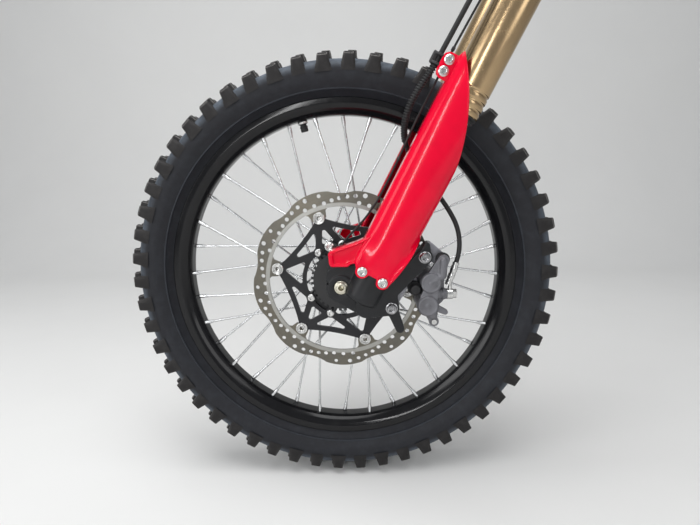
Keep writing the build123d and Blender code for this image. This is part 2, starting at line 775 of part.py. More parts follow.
def axle_holder_left():
    """The left casting with its arm, caliper lugs and sensor ear."""
    low, high = CALIPER_LUGS
    arm = belt(high, CALIPER_LUG_R, ARM_WAIST, ARM_WAIST_R)
    arm += belt(ARM_WAIST, ARM_WAIST_R, HOLDER_FOOT, HOLDER_FOOT_R)
    arm += belt(low, CALIPER_LUG_R, HOLDER_FOOT, HOLDER_FOOT_R)
    arm += belt(low, CALIPER_LUG_R, ARM_WAIST, CALIPER_LUG_R - 3.0)
    arm += belt(low, CALIPER_LUG_R - 3.0, ARM_FINGER, ARM_FINGER_R)
    arm += belt(high, CALIPER_LUG_R - 2.0, ARM_TIP, ARM_TIP_R)
    arm += belt(ARM_WAIST, ARM_WAIST_R, (LEG_N + 14.0, 40.0), ARM_WAIST_R)
    for place in CALIPER_LUGS:
        arm -= Pos(*place) * Circle(CALIPER_BOLT_R + SEAT)
    guard_side = slab(offset(guard_outline(), SEAT), -ARM_OUT_Y, -ARM_OUT_Y + CALIPER_LUG_T)
    arm_solid = slab(arm, -ARM_OUT_Y, -ARM_OUT_Y + CALIPER_LUG_T) - (guard_side - guard_room(SEAT))
    ear = belt((0, 0), AXLE_BOSS_R - 2.5, SENSOR, SENSOR_R + 3.0)
    ear += belt(SENSOR, SENSOR_R + 3.0, SENSOR_BOLT, 6.0)
    ear -= Pos(*SENSOR) * Circle(SENSOR_R + SEAT)
    ear -= Pos(*SENSOR_BOLT) * Circle(GUARD_BOLT_R + SEAT)
    ear -= Circle(COLLAR_R + 1.0)
    ear_solid = slab(ear, -HOLDER_IN_Y - SENSOR_EAR_T, -HOLDER_IN_Y)
    limbs = arm_solid + ear_solid - tube_room()
    for hole in low_bolt_holes():
        limbs -= hole
    return axle_holder() + limbs


def inner_tube():
    """Left chromed inner tube, open inside."""
    bore = INNER_TUBE_R - INNER_TUBE_WALL
    foot = INNER_TUBE_FOOT_S + SEAT
    return leg_turned(
        [
            (0, foot),
            (INNER_TUBE_R, foot),
            (INNER_TUBE_R, INNER_TUBE_TOP_S),
            (bore, INNER_TUBE_TOP_S),
            (bore, foot + 12.0),
            (0, foot + 12.0),
        ],
        LEG_N,
        -LEG_Y,
    )


def outer_tube():
    """Left outer tube with three grooves at its foot and a clamped upper part."""
    bore = INNER_TUBE_R + SEAT
    points = [(bore, OUTER_TUBE_FOOT_S), (OUTER_TUBE_R, OUTER_TUBE_FOOT_S)]
    for s in GROOVES_S:
        points += [
            (OUTER_TUBE_R, s - GROOVE_W / 2),
            (OUTER_TUBE_R - GROOVE_DEPTH, s - GROOVE_W / 4),
            (OUTER_TUBE_R - GROOVE_DEPTH, s + GROOVE_W / 4),
            (OUTER_TUBE_R, s + GROOVE_W / 2),
        ]
    points += [
        (OUTER_TUBE_R, OUTER_STEP_S),
        (OUTER_TOP_R, OUTER_STEP_S + 4.0),
        (OUTER_TOP_R, OUTER_TUBE_TOP_S),
        (bore, OUTER_TUBE_TOP_S),
    ]
    return leg_turned(points, LEG_N, -LEG_Y)


def dust_seal():
    """Left rubber seal under the outer tube."""
    top = OUTER_TUBE_FOOT_S - SEAT
    bore = INNER_TUBE_R + SEAT
    lip_r = OUTER_TUBE_R - 1.0
    return leg_turned(
        [
            (bore, top - SEAL_H),
            (SEAL_R - 2.0, top - SEAL_H),
            (SEAL_R, top - SEAL_H + 2.0),
            (SEAL_R, top - 3.0),
            (lip_r, top - 2.0),
            (lip_r, top),
            (bore, top),
        ],
        LEG_N,
        -LEG_Y,
    )


def fork_cap():
    """Left fork cap with a hex and an adjuster."""
    plug_r = INNER_TUBE_R
    foot = OUTER_TUBE_TOP_S + SEAT
    rim_h = 4.5
    cap = leg_turned(
        [
            (0, foot - 14.0),
            (plug_r, foot - 14.0),
            (plug_r, foot),
            (OUTER_TOP_R, foot),
            (OUTER_TOP_R, foot + 3.0),
            (OUTER_TOP_R - 2.0, foot + rim_h),
            (0, foot + rim_h),
        ],
        LEG_N,
        -LEG_Y,
    )
    hexagon = Pos(LEG_N, -LEG_Y, foot + rim_h) * extrude(RegularPolygon(16.0, 6), 5.0)
    knob = Pos(LEG_N, -LEG_Y, foot + rim_h + 5.0) * extrude(Circle(7.0), 4.0)
    return cap + hexagon + knob


def guard_outline():
    """Side view of the left guard in the leg frame."""
    tip, top_arc, heel = (1.0, 361.0), (48.0, 285.0), (67.0, 230.0)
    first, second = GUARD_LOW_BOLTS
    front_low, rear_low = (first[0] - GUARD_LOBE_R, first[1]), (second[0] + GUARD_LOBE_R, second[1])
    edge_n, rear_n = GUARD_FRONT_N - 1.0, GUARD_REAR_N + 1.0
    outline = make_face(
        [
            Line((edge_n, 48.0), (edge_n, 352.0)),
            Line((edge_n, 352.0), tip),
            ThreePointArc(tip, top_arc, heel),
            Line(heel, (rear_n, 178.0)),
            Line((rear_n, 178.0), (rear_n, 111.0)),
            ThreePointArc((rear_n, 111.0), (66.0, 68.0), rear_low),
            Line(rear_low, front_low),
            Line(front_low, (edge_n, 48.0)),
        ]
    )
    for place in GUARD_LOW_BOLTS:
        outline += Pos(*place) * Circle(GUARD_LOBE_R)
    notch = ((first[0] + second[0]) / 2, first[1] - GUARD_LOBE_R)
    return outline - Pos(*notch) * Circle(GUARD_LOBE_R - 1.0)


def guard():
    """Left guard: a channel round the leg, a forward nose and an upper ear."""
    width = GUARD_REAR_N - GUARD_FRONT_N
    depth = GUARD_OUT_Y - GUARD_IN_Y
    middle_n = (GUARD_FRONT_N + GUARD_REAR_N) / 2
    outer = Pos(middle_n, -GUARD_IN_Y) * RectangleRounded(width, 2 * depth, GUARD_CORNER_R)
    outboard = Pos(middle_n, -GUARD_IN_Y - depth / 2) * Rectangle(width, depth)
    channel = extrude(outer & outboard, 400.0) - guard_room(0)
    body = channel & slab(guard_outline(), -GUARD_OUT_Y - 1.0, -GUARD_IN_Y + 1.0)
    nose_face = make_face(
        Polyline(
            (2.0, 46.0),
            (-3.5, 42.0),
            (-6.0, 35.5),
            (-28.0, 24.5),
            (-31.5, 27.0),
            (-40.0, 40.0),
            (-37.5, 45.5),
            (-9.6, 74.0),
            (2.0, 90.0),
            close=True,
        )
    )
    nose_out_y = -GUARD_OUT_Y + NOSE_SET_IN
    nose_in_y = -NOSE_IN_Y
    nose = slab(nose_face, nose_out_y, nose_in_y)
    nose -= slab(offset(nose_face, -GUARD_WALL), nose_out_y + GUARD_WALL, nose_in_y + 1.0)
    ear_y = -GUARD_OUT_Y + EAR_SET_IN
    ear = belt(GUARD_TOP_BOLTS[0], GUARD_LOBE_R, GUARD_TOP_BOLTS[1], GUARD_LOBE_R)
    ear += Pos(-4.0, (GUARD_TOP_BOLTS[0][1] + GUARD_TOP_BOLTS[1][1]) / 2) * Rectangle(10.0, 36.0)
    body += (nose + slab(ear, ear_y, ear_y + GUARD_WALL)) - guard_room(0)
    for n, s in GUARD_TOP_BOLTS:
        body -= rod(n, s, GUARD_BOLT_R + SEAT, ear_y - 1.0, ear_y + GUARD_WALL + 1.0)
    for hole in low_bolt_holes():
        body -= hole
    return body


def flanged_bolt(n, s, seat_y, grip):
    """A flanged bolt along Y with its head outboard of seat_y."""
    head = rod(n, s, GUARD_HEAD_R, seat_y - 1.6, seat_y) + rod(n, s, 5.0, seat_y - 4.6, seat_y)
    head -= rod(n, s, 2.6, seat_y - 4.6, seat_y - 2.0)
    return head + rod(n, s, GUARD_BOLT_R, seat_y, seat_y + grip)


def flanged_bolts():
    """Lower guard bolts of both sides, those of the hose clamp and the sensor's."""
    low = [flanged_bolt(n, s, -GUARD_OUT_Y, GUARD_BOLT_L - 1.0) for n, s in GUARD_LOW_BOLTS]
    ear_y = -GUARD_OUT_Y + EAR_SET_IN
    top = [flanged_bolt(n, s, ear_y, GUARD_WALL + CLAMP_PLATE_T + 3.0) for n, s in GUARD_TOP_BOLTS]
    seat_y = -HOLDER_IN_Y - SENSOR_EAR_T - SENSOR_FLANGE_T - SEAT
    sensor = flanged_bolt(*SENSOR_BOLT, seat_y, SENSOR_EAR_T + SENSOR_FLANGE_T)
    return low + [mirror(bolt, Plane.XZ) for bolt in low] + top + [sensor]


def caliper_body():
    """Two-piston floating caliper in the standing frame, over the disc edge."""
    first, second = PISTON_CENTRES
    pad_out = DISC_Y - DISC_T / 2 - RUN_GAP - PAD_T - SEAT
    pad_in = DISC_Y + DISC_T / 2 + RUN_GAP + PAD_T + SEAT
    housing = belt(first, PISTON_HOUSING_R - 3.5, second, PISTON_HOUSING_R - 3.5)
    for centre in PISTON_CENTRES:
        housing += Pos(*centre) * Circle(PISTON_HOUSING_R)
    body = slab(housing, CALIPER_OUT_Y, pad_out)
    rings = [(Pos(*centre) * Circle(PISTON_HOUSING_R - 2.0)).edge() for centre in PISTON_CENTRES]
    rings += [(Pos(*place) * Circle(BRIDGE_END_R)).edge() for place in BRIDGE_ENDS]
    block = slab(make_hull(rings), CALIPER_OUT_Y + BRIDGE_SET_IN, pad_in + CALIPER_JAW_T)
    block -= rod(0, 0, DISC_R + BRIDGE_GAP, pad_out, pad_in)
    upper_ear = slab(belt(first, 11.0, UPPER_PIN, PIN_BOOT_R + 0.5), CALIPER_OUT_Y, CALIPER_OUT_Y + EAR_T)
    front_ear_y = -ARM_OUT_Y + CALIPER_LUG_T + BRACKET_T + 2.0
    front_ear = slab(belt(first, 10.0, FRONT_PIN, PIN_BOOT_R), front_ear_y, front_ear_y + EAR_T)
    pin_ear = belt(second, PISTON_HOUSING_R - 6.0, PAD_PIN, PIN_R + 2.5) + belt(second, 6.0, BLEED_END, 4.0)
    body += block + upper_ear + front_ear + slab(pin_ear, BANJO_Y - EAR_T / 2, BANJO_Y + EAR_T / 2)
    body -= rod(*PAD_PIN, PIN_R + SHAFT_GAP, BANJO_Y - EAR_T, BANJO_Y + EAR_T)
    body -= bar((BANJO_BOSS_END_X, BANJO_Y, BANJO_Z), AFT, BANJO_BOSS_R + 1.5, 2 * BANJO_T)
    body += bar((first[0], BANJO_Y, BANJO_Z), AFT, BANJO_BOSS_R, BANJO_BOSS_END_X - first[0])
    body -= bracket_slab(offset(bracket_plan(), RUN_GAP), RUN_GAP)
    body -= rod(*FRONT_PIN, FRONT_BOOT_R + RUN_GAP, CALIPER_OUT_Y - 1.0, -ARM_OUT_Y + CALIPER_LUG_T + RUN_GAP)
    body -= rod(*UPPER_PIN, PIN_R + SHAFT_GAP, CALIPER_OUT_Y + 2.0, CALIPER_OUT_Y + EAR_T)
    body -= rod(*FRONT_PIN, PIN_R + SHAFT_GAP, front_ear_y, front_ear_y + EAR_T - 2.0)
    thread_x = BANJO_BOSS_END_X - BANJO_THREAD
    return body - bar((thread_x, BANJO_Y, BANJO_Z), AFT, BANJO_BOLT_R + SEAT, BANJO_THREAD)


def standing(place):
    """X and Z of a leg-frame place (n, s)."""
    n, s = place
    return (n * cos(radians(RAKE)) + s * sin(radians(RAKE)), s * cos(radians(RAKE)) - n * sin(radians(RAKE)))


def bracket_plan():
    """Outline of the caliper bracket: lugs and both pin seats."""
    low, high = standing(CALIPER_LUGS[0]), standing(CALIPER_LUGS[1])
    face = belt(low, CALIPER_LUG_R - 2.0, BRACKET_ELBOW, PIN_BOOT_R)
    face += belt(BRACKET_ELBOW, PIN_BOOT_R, FRONT_PIN, PIN_BOOT_R)
    face += belt(BRACKET_ELBOW, PIN_BOOT_R, high, CALIPER_LUG_R)
    face += belt(high, CALIPER_LUG_R, BRACKET_HORN, PIN_BOOT_R)
    face += belt(BRACKET_HORN, PIN_BOOT_R, UPPER_PIN, PIN_BOOT_R)
    return face + belt(high, CALIPER_LUG_R - 1.0, UPPER_PIN, PIN_BOOT_R)


def bracket_slab(face, clearance):
    """A sketch made solid over the bracket's thickness and a clearance each way."""
    low_y = -ARM_OUT_Y + CALIPER_LUG_T + SEAT
    return slab(face, low_y - clearance, low_y + BRACKET_T + clearance)


def caliper_bracket():
    """Bracket bolted behind the arm, with its bolt and pin holes."""
    face = bracket_plan()
    for place in CALIPER_LUGS:
        face -= Pos(*standing(place)) * Circle(CALIPER_BOLT_R + SEAT)
    for place in (FRONT_PIN, UPPER_PIN):
        face -= Pos(*place) * Circle(PIN_R + SHAFT_GAP)
    return bracket_slab(face, 0)


def caliper_bolts():
    """Two bolts through the holder's lugs into the bracket."""
    grip = CALIPER_LUG_T + SEAT + BRACKET_T
    seat_y = -ARM_OUT_Y
    bolts = []
    for x, z in (standing(place) for place in CALIPER_LUGS):
        bolt = rod(x, z, 9.0, seat_y - 2.0, seat_y) + rod(x, z, 7.0, seat_y - 9.0, seat_y)
        bolt += rod(x, z, CALIPER_BOLT_R, seat_y, seat_y + grip)
        bolts.append(bolt - slab(Pos(x, z) * RegularPolygon(4.0, 6), seat_y - 9.0, seat_y - 4.0))
    return bolts


def slide_pins():
    """Two pins on which the caliper floats, and the pin that keeps the pads in."""
    bracket_low = -ARM_OUT_Y + CALIPER_LUG_T + SEAT
    upper = rod(*UPPER_PIN, PIN_R, CALIPER_OUT_Y + 3.0, bracket_low + BRACKET_T)
    front = rod(*FRONT_PIN, PIN_R, CALIPER_OUT_Y + 3.0, bracket_low + BRACKET_T + EAR_T - 1.0)
    keeper = rod(*PAD_PIN, PIN_R, BANJO_Y - EAR_T / 2 - 3.0, PAD_PIN_END_Y)
    return [upper, front, keeper]


def pin_boots():
    """Rubber boots: a cap over the front pin and a bellows on the upper one."""
    top_y = -ARM_OUT_Y + CALIPER_LUG_T
    cap = rod(*FRONT_PIN, FRONT_BOOT_R, CALIPER_OUT_Y + 4.0, top_y)
    cap += rod(*FRONT_PIN, FRONT_BOOT_R - 2.5, CALIPER_OUT_Y - 1.0, CALIPER_OUT_Y + 4.0)
    cap -= rod(*FRONT_PIN, PIN_R + SHAFT_GAP, CALIPER_OUT_Y + 2.0, top_y)
    low_y = CALIPER_OUT_Y + EAR_T + SEAT
    bellows = rod(*UPPER_PIN, PIN_BOOT_R, low_y, top_y)
    bellows -= rod(*UPPER_PIN, PIN_R + SHAFT_GAP, low_y, top_y)
    return [cap, bellows]


def brake_pads():
    """Two brake pads, plate and lining in one solid each."""
    first, second = PISTON_CENTRES
    face = belt((first[0] - 6.0, first[1]), 11.0, (second[0] - 6.0, second[1]), 11.0)
    outer = DISC_Y - DISC_T / 2 - RUN_GAP
    inner = DISC_Y + DISC_T / 2 + RUN_GAP
    return [slab(face, outer - PAD_T, outer), slab(face, inner, inner + PAD_T)]


def cord(route, radius, name):
    """A round cord along straight runs joined by tangent arcs."""
    points = [Vector(*p) for p in route]
    radii = []
    for before, here, after in zip(points, points[1:], points[2:]):
        turn = (here - before).get_angle(after - here)
        shorter = min((here - before).length, (after - here).length)
        radii.append(0.45 * shorter / tan(radians(turn / 2)))
    print(name, "radii", [round(r) for r in radii])
    path = FilletPolyline(*route, radius=radii)
    solid = sweep(Plane(origin=path @ 0, z_dir=path % 0) * Circle(radius), path)
    ratio = solid.volume / (pi * radius**2 * path.length)
    print(name, "length", round(path.length, 1), "volume ratio", round(ratio, 4))
    return solid


def brake_hose():
    """Brake hose from the caliper's banjo to the union on the lower clamp."""
    return cord(HOSE_ROUTE, HOSE_R, "brake_hose")


def sensor_wire():
    """Wire from the speed sensor to its connector on the lower clamp."""
    return cord(WIRE_ROUTE, WIRE_R, "sensor_wire")


def ferrule(end, before, length, radius):
    """A crimped sleeve that carries on from the end of a hose."""
    tip, inner = Vector(*end), Vector(*before)
    return bar(tip, tip - inner, radius, length)


def hose_fittings():
    """Banjo eye at the caliper and union eye at the lower clamp."""
    start, second = HOSE_ROUTE[0], HOSE_ROUTE[1]
    eye_x = BANJO_BOSS_END_X + SEAT + BANJO_T / 2
    eye_n = eye_x * cos(radians(RAKE)) - BANJO_Z * sin(radians(RAKE))
    eye_s = eye_x * sin(radians(RAKE)) + BANJO_Z * cos(radians(RAKE))
    low = unlean(bar((eye_x - BANJO_T / 2, BANJO_Y, BANJO_Z), AFT, BANJO_BOSS_R, BANJO_T))
    reach = Vector(*start) - Vector(eye_n, BANJO_Y, eye_s)
    low += bar((eye_n, BANJO_Y, eye_s), reach, HOSE_R - 0.5, reach.length - 9.0)
    low += ferrule(start, second, 10.0, HOSE_R + 1.2)
    low -= unlean(bar((eye_x - BANJO_T, BANJO_Y, BANJO_Z), AFT, BANJO_BOLT_R + SEAT, 2 * BANJO_T))
    end, before = HOSE_ROUTE[-1], HOSE_ROUTE[-2]
    high = ferrule(end, before, 14.0, HOSE_R + 1.2)
    union_s = LOWER_CLAMP_S + LOWER_CLAMP_H / 2
    eye = (LUG_FRONT_N - SEAT, end[1], union_s)
    high += bar(eye, FORE, BANJO_BOSS_R, BANJO_T)
    high += bar((end[0], end[1], end[2] + 5.0), (0, 0, 1), HOSE_R - 0.5, union_s - end[2] - 5.0)
    return [low, high - bar(eye, FORE, BANJO_BOLT_R + SEAT, BANJO_T)]


def banjo_bolts():
    """The hollow bolt at the caliper and the one at the lower clamp."""
    low_x = BANJO_BOSS_END_X - BANJO_THREAD + 1.0
    head_x = BANJO_BOSS_END_X + BANJO_T + 2 * SEAT
    hexagon = RegularPolygon(BANJO_HEAD_R, 6)
    low = bar((low_x, BANJO_Y, BANJO_Z), AFT, BANJO_BOLT_R, head_x - low_x)
    low += extrude(Plane(origin=(head_x, BANJO_Y, BANJO_Z), z_dir=AFT) * hexagon, BANJO_HEAD_H)
    y = HOSE_ROUTE[-1][1]
    s = LOWER_CLAMP_S + LOWER_CLAMP_H / 2
    head_n = LUG_FRONT_N - BANJO_T - 2 * SEAT
    high = bar((head_n, y, s), AFT, BANJO_BOLT_R, BANJO_T + UNION_THREAD)
    high += extrude(Plane(origin=(head_n, y, s), z_dir=FORE) * hexagon, BANJO_HEAD_H)
    return [unlean(low), high]


def hose_clamp():
    """Moulded clamp on the guard's ear that holds the hose and the wire."""
    plate_y = -GUARD_OUT_Y + EAR_SET_IN + GUARD_WALL + SEAT
    first, second = (Vector(*p) for p in HOSE_ROUTE[11:13])
    hose_at = first + (second - first) * 0.5
    wire_first, wire_second = (Vector(*p) for p in WIRE_ROUTE[9:11])
    share = (hose_at.Z - wire_first.Z) / (wire_second.Z - wire_first.Z)
    wire_at = wire_first + (wire_second - wire_first) * share
    foot = (Pos(GUARD_FRONT_N - 2.4 - SEAT, plate_y + 2.4) * Circle(2.4)).edge()
    hose_ring = (Pos(hose_at.X, hose_at.Y) * Circle(HOSE_R + 3.4)).edge()
    wire_ring = (Pos(wire_at.X, wire_at.Y) * Circle(WIRE_R + 2.6)).edge()
    section = make_hull([foot, hose_ring, wire_ring])
    section &= Pos(0, plate_y + 50.0) * Rectangle(100.0, 100.0)
    section -= Pos(hose_at.X, hose_at.Y) * Circle(HOSE_R + HOSE_BORE_GAP)
    section -= Pos(wire_at.X, wire_at.Y) * Circle(WIRE_R + HOSE_BORE_GAP)
    block = Pos(0, 0, hose_at.Z - CLAMP_BLOCK_H / 2) * extrude(section, CLAMP_BLOCK_H)
    low, high = GUARD_TOP_BOLTS[0][1], GUARD_TOP_BOLTS[1][1]
    plate_w = 2 * (GUARD_FRONT_N - SEAT - GUARD_TOP_BOLTS[0][0])
    plate = Box(plate_w, CLAMP_PLATE_T, high - low + 14.0)
    block += Pos(GUARD_TOP_BOLTS[0][0], plate_y + CLAMP_PLATE_T / 2, (low + high) / 2) * plate
    for n, s in GUARD_TOP_BOLTS:
        block -= rod(n, s, GUARD_BOLT_R + SEAT, plate_y - 1.0, plate_y + CLAMP_PLATE_T + 4.0)
    return block


def speed_sensor():
    """Wheel speed sensor in the holder's ear, with its bolt and cable exit."""
    tip_y = HUB_LEFT_Y - CARRIER_T - TONE_STAND_OUT - SENSOR_GAP
    out_y = -HOLDER_IN_Y - SENSOR_EAR_T
    body = rod(*SENSOR, SENSOR_R, out_y, tip_y)
    flange = belt(SENSOR, SENSOR_R + 2.0, SENSOR_BOLT, 5.5)
    body += slab(flange, out_y - SENSOR_FLANGE_T - SEAT, out_y - SEAT)
    body += rod(*SENSOR, SENSOR_R, out_y - SENSOR_FLANGE_T - SEAT, out_y)
    exit_n, exit_y, exit_s = WIRE_ROUTE[0]
    head = rod(*SENSOR, SENSOR_R - 1.0, exit_y - WIRE_R - 2.0, out_y)
    outlet = Pos(exit_n, exit_y, SENSOR[1]) * extrude(Circle(WIRE_R + 1.4), exit_s - SEAT - SENSOR[1])
    body += head + outlet
    return body - rod(*SENSOR_BOLT, GUARD_BOLT_R + SEAT, out_y - 5.0, out_y)


def wire_connector():
    """Connector where the sensor wire ends under the lower clamp."""
    n, y, s = WIRE_ROUTE[-1]
    height = LOWER_CLAMP_S - 2 * SEAT - s
    return Pos(n, y, s + SEAT) * extrude(RectangleRounded(10.0, 12.0, 2.0), height)


def clamp_plan(tube_r, stem_r):
    """Plan of a triple clamp: rings round the tubes joined to the stem boss."""
    plan = None
    for side in (-1, 1):
        place = (LEG_N, side * LEG_Y)
        arm = belt(place, tube_r + CLAMP_WALL, (STEM_N, 0), STEM_BOSS_R)
        lug = Pos((LEG_N + LUG_FRONT_N) / 2, side * LEG_Y) * Rectangle(LEG_N - LUG_FRONT_N, 2 * LUG_HALF_W)
        plan = arm + lug if plan is None else plan + arm + lug
    for side in (-1, 1):
        plan -= Pos(LEG_N, side * LEG_Y) * Circle(tube_r + SEAT)
        slot = Rectangle(LEG_N - LUG_FRONT_N + 2.0, PINCH_SLOT)
        plan -= Pos((LEG_N + LUG_FRONT_N) / 2 - 1.0, side * LEG_Y) * slot
    return plan - Pos(STEM_N, 0) * Circle(stem_r + SEAT)


def pinch_places():
    """Leg-frame heights of the pinch bolts: two in each lower ring, one in each upper."""
    low = [LOWER_CLAMP_S + 8.0, LOWER_CLAMP_S + LOWER_CLAMP_H - 8.0]
    return low + [UPPER_CLAMP_S + UPPER_CLAMP_H / 2]


def pinch_holes():
    """Room for the pinch bolts and their heads on both sides."""
    holes = []
    for s in pinch_places():
        seat_y = -LEG_Y - LUG_HALF_W
        shank = rod(PINCH_BOLT_N, s, PINCH_BOLT_R + SEAT, seat_y, seat_y + 2 * LUG_HALF_W)
        head = rod(PINCH_BOLT_N, s, PINCH_HEAD_R + 0.6, seat_y - 2 * PINCH_HEAD_H, seat_y)
        holes += list(both(shank)) + list(both(head))
    return holes


def lower_clamp():
    """Lower triple clamp with split tube rings and mudguard holes."""
    plan = clamp_plan(OUTER_TUBE_R, STEM_R)
    for side in (-1, 1):
        plan -= Pos(FENDER_HOLES_N, side * FENDER_HOLES_Y) * Circle(FENDER_HOLE_R)
    body = Pos(0, 0, LOWER_CLAMP_S) * extrude(plan, LOWER_CLAMP_H)
    for hole in pinch_holes():
        body -= hole
    s = LOWER_CLAMP_S + LOWER_CLAMP_H / 2
    return body - bar((LUG_FRONT_N, HOSE_ROUTE[-1][1], s), AFT, BANJO_BOLT_R + SEAT, UNION_THREAD + 1.0)


def upper_clamp():
    """Upper triple clamp with two handlebar mount holes."""
    plan = clamp_plan(OUTER_TOP_R, STEM_TOP_R)
    for side in (-1, 1):
        plan -= Pos(BAR_HOLES_N, side * BAR_HOLES_Y) * Circle(BAR_HOLE_R)
    body = Pos(0, 0, UPPER_CLAMP_S) * extrude(plan, UPPER_CLAMP_H)
    for hole in pinch_holes():
        body -= hole
    return body


def pinch_bolts():
    """Socket-headed pinch bolts of both clamps, heads outboard."""
    bolts = []
    for s in pinch_places():
        seat_y = -LEG_Y - LUG_HALF_W
        head = rod(PINCH_BOLT_N, s, PINCH_HEAD_R, seat_y - PINCH_HEAD_H, seat_y)
        head -= slab(Pos(PINCH_BOLT_N, s) * RegularPolygon(3.0, 6), seat_y - PINCH_HEAD_H, seat_y - 3.0)
        bolt = head + rod(PINCH_BOLT_N, s, PINCH_BOLT_R, seat_y, seat_y + 2 * LUG_HALF_W)
        bolts += list(both(bolt))
    return bolts


def steering_stem():
    """Hollow steering stem pressed in the lower clamp."""
    top = UPPER_CLAMP_S + UPPER_CLAMP_H + STEM_NUT_H
    return leg_turned(
        [
            (STEM_BORE_R, LOWER_CLAMP_S - 4.0),
            (STEM_R + 4.0, LOWER_CLAMP_S - 4.0),
            (STEM_R + 4.0, LOWER_CLAMP_S),
            (STEM_R, LOWER_CLAMP_S),
            (STEM_R, UPPER_CLAMP_S),
            (STEM_TOP_R, UPPER_CLAMP_S),
            (STEM_TOP_R, top),
            (STEM_BORE_R, top),
        ],
        STEM_N,
        0,
    )


def stem_nut():
    """Nut that holds the upper clamp on the stem."""
    foot = UPPER_CLAMP_S + UPPER_CLAMP_H
    flange = extrude(Circle(STEM_TOP_R + 9.0), 2.5)
    hexagon = extrude(RegularPolygon(STEM_TOP_R + 6.5, 6), STEM_NUT_H + 1.0)
    return Pos(STEM_N, 0, foot) * (flange + hexagon - extrude(Circle(STEM_TOP_R + SEAT), STEM_NUT_H + 1.0))


def race(low_s, widening):
    """An outer race with its taper; widening is 1 if its wide end is below."""
    foot_r, top_r = (RACE_FOOT_R, RACE_TOP_R) if widening > 0 else (RACE_TOP_R, RACE_FOOT_R)
    high_s = low_s + RACE_W
    return leg_turned([(foot_r, low_s), (RACE_R, low_s), (RACE_R, high_s), (top_r, high_s)], STEM_N, 0)


def bearing_cones():
    """Inner rings with their rollers, drawn as one tapered ring each."""
    bore = STEM_R + SEAT
    wide, narrow = RACE_FOOT_R - RUN_GAP, RACE_TOP_R - RUN_GAP
    low_seat = LOWER_CLAMP_S + LOWER_CLAMP_H + SEAT
    high_seat = UPPER_CLAMP_S - SEAT
    low = [
        (bore, low_seat),
        (wide, low_seat),
        (wide, LOWER_RACE_S),
        (narrow, LOWER_RACE_S + RACE_W),
        (bore, LOWER_RACE_S + RACE_W),
    ]
    high = [
        (bore, UPPER_RACE_S),
        (narrow, UPPER_RACE_S),
        (wide, UPPER_RACE_S + RACE_W),
        (wide, high_seat),
        (bore, high_seat),
    ]
    return [leg_turned(points, STEM_N, 0) for points in (low, high)]


# node, function, whether it is drawn in the leg frame
PIECES = (
    ("tyre", tyre, False),
    ("rim", rim, False),
    ("spokes", spokes, False),
    ("hub", hub, False),
    ("hub_bearings", hub_bearings, False),
    ("brake_disc", brake_disc, False),
    ("disc_carrier", disc_carrier, False),
    ("disc_buttons", disc_buttons, False),
    ("disc_bolts", disc_bolts, False),
    ("tone_ring", tone_ring, False),
    ("valve", valve, False),
    ("axle", axle, False),
    ("axle_collars", axle_collars, False),
    ("axle_holder_left", axle_holder_left, True),
    ("flanged_bolts", flanged_bolts, True),
    ("caliper_body", caliper_body, False),
    ("caliper_bracket", caliper_bracket, False),
    ("caliper_bolts", caliper_bolts, False),
    ("slide_pins", slide_pins, False),
    ("pin_boots", pin_boots, False),
    ("brake_pads", brake_pads, False),
    ("brake_hose", brake_hose, True),
    ("hose_fittings", hose_fittings, True),
    ("banjo_bolts", banjo_bolts, True),
    ("hose_clamp", hose_clamp, True),
    ("speed_sensor", speed_sensor, True),
    ("sensor_wire", sensor_wire, True),
    ("wire_connector", wire_connector, True),
    ("lower_clamp", lower_clamp, True),
    ("upper_clamp", upper_clamp, True),
    ("pinch_bolts", pinch_bolts, True),
    ("steering_stem", steering_stem, True),
    ("stem_nut", stem_nut, True),
    ("bearing_cones", bearing_cones, True),
)
# node, function of the left one, whether the two sides share a node
PAIRS = (
    ("inner_tube", inner_tube, False),
    ("outer_tube", outer_tube, False),
    ("guard", guard, False),
    ("dust_seals", dust_seal, True),
    ("fork_caps", fork_cap, True),
)


def main():
    """Builds and writes every node."""
    for node, make, in_leg_frame in PIECES:
        shape = make()
        solids = shape if isinstance(shape, list) else [shape]
        save(node, [lean(s) for s in solids] if in_leg_frame else solids)
    for node, make, shared in PAIRS:
        left, right = (lean(s) for s in both(make()))
        if shared:
            save(node, [left, right])
        else:
            save(node + "_left", [left])
            save(node + "_right", [right])
    save("axle_holder_right", [lean(mirror(axle_holder(), Plane.XZ))])
    save("lower_race", [lean(race(LOWER_RACE_S, 1))])
    save("upper_race", [lean(race(UPPER_RACE_S, -1))])


main()
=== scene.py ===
"""Dresses the front wheel and fork of a dual sport motorcycle.

Everything is in metres in the part's own frame: +Z up, -X forward and -Y to the
rider's left, with the origin at the lower head bearing. Two frames of the maker's
own help to place things: the wheel frame, centred on the axle, and the leg frame,
whose n runs rearward and square to the fork legs and whose s runs up them.
"""

import json
import logging
from dataclasses import dataclass
from enum import Enum
from functools import lru_cache
from math import cos, pi, radians, sin

import bmesh
import bpy
import numpy as np
from mathutils import Matrix, Vector


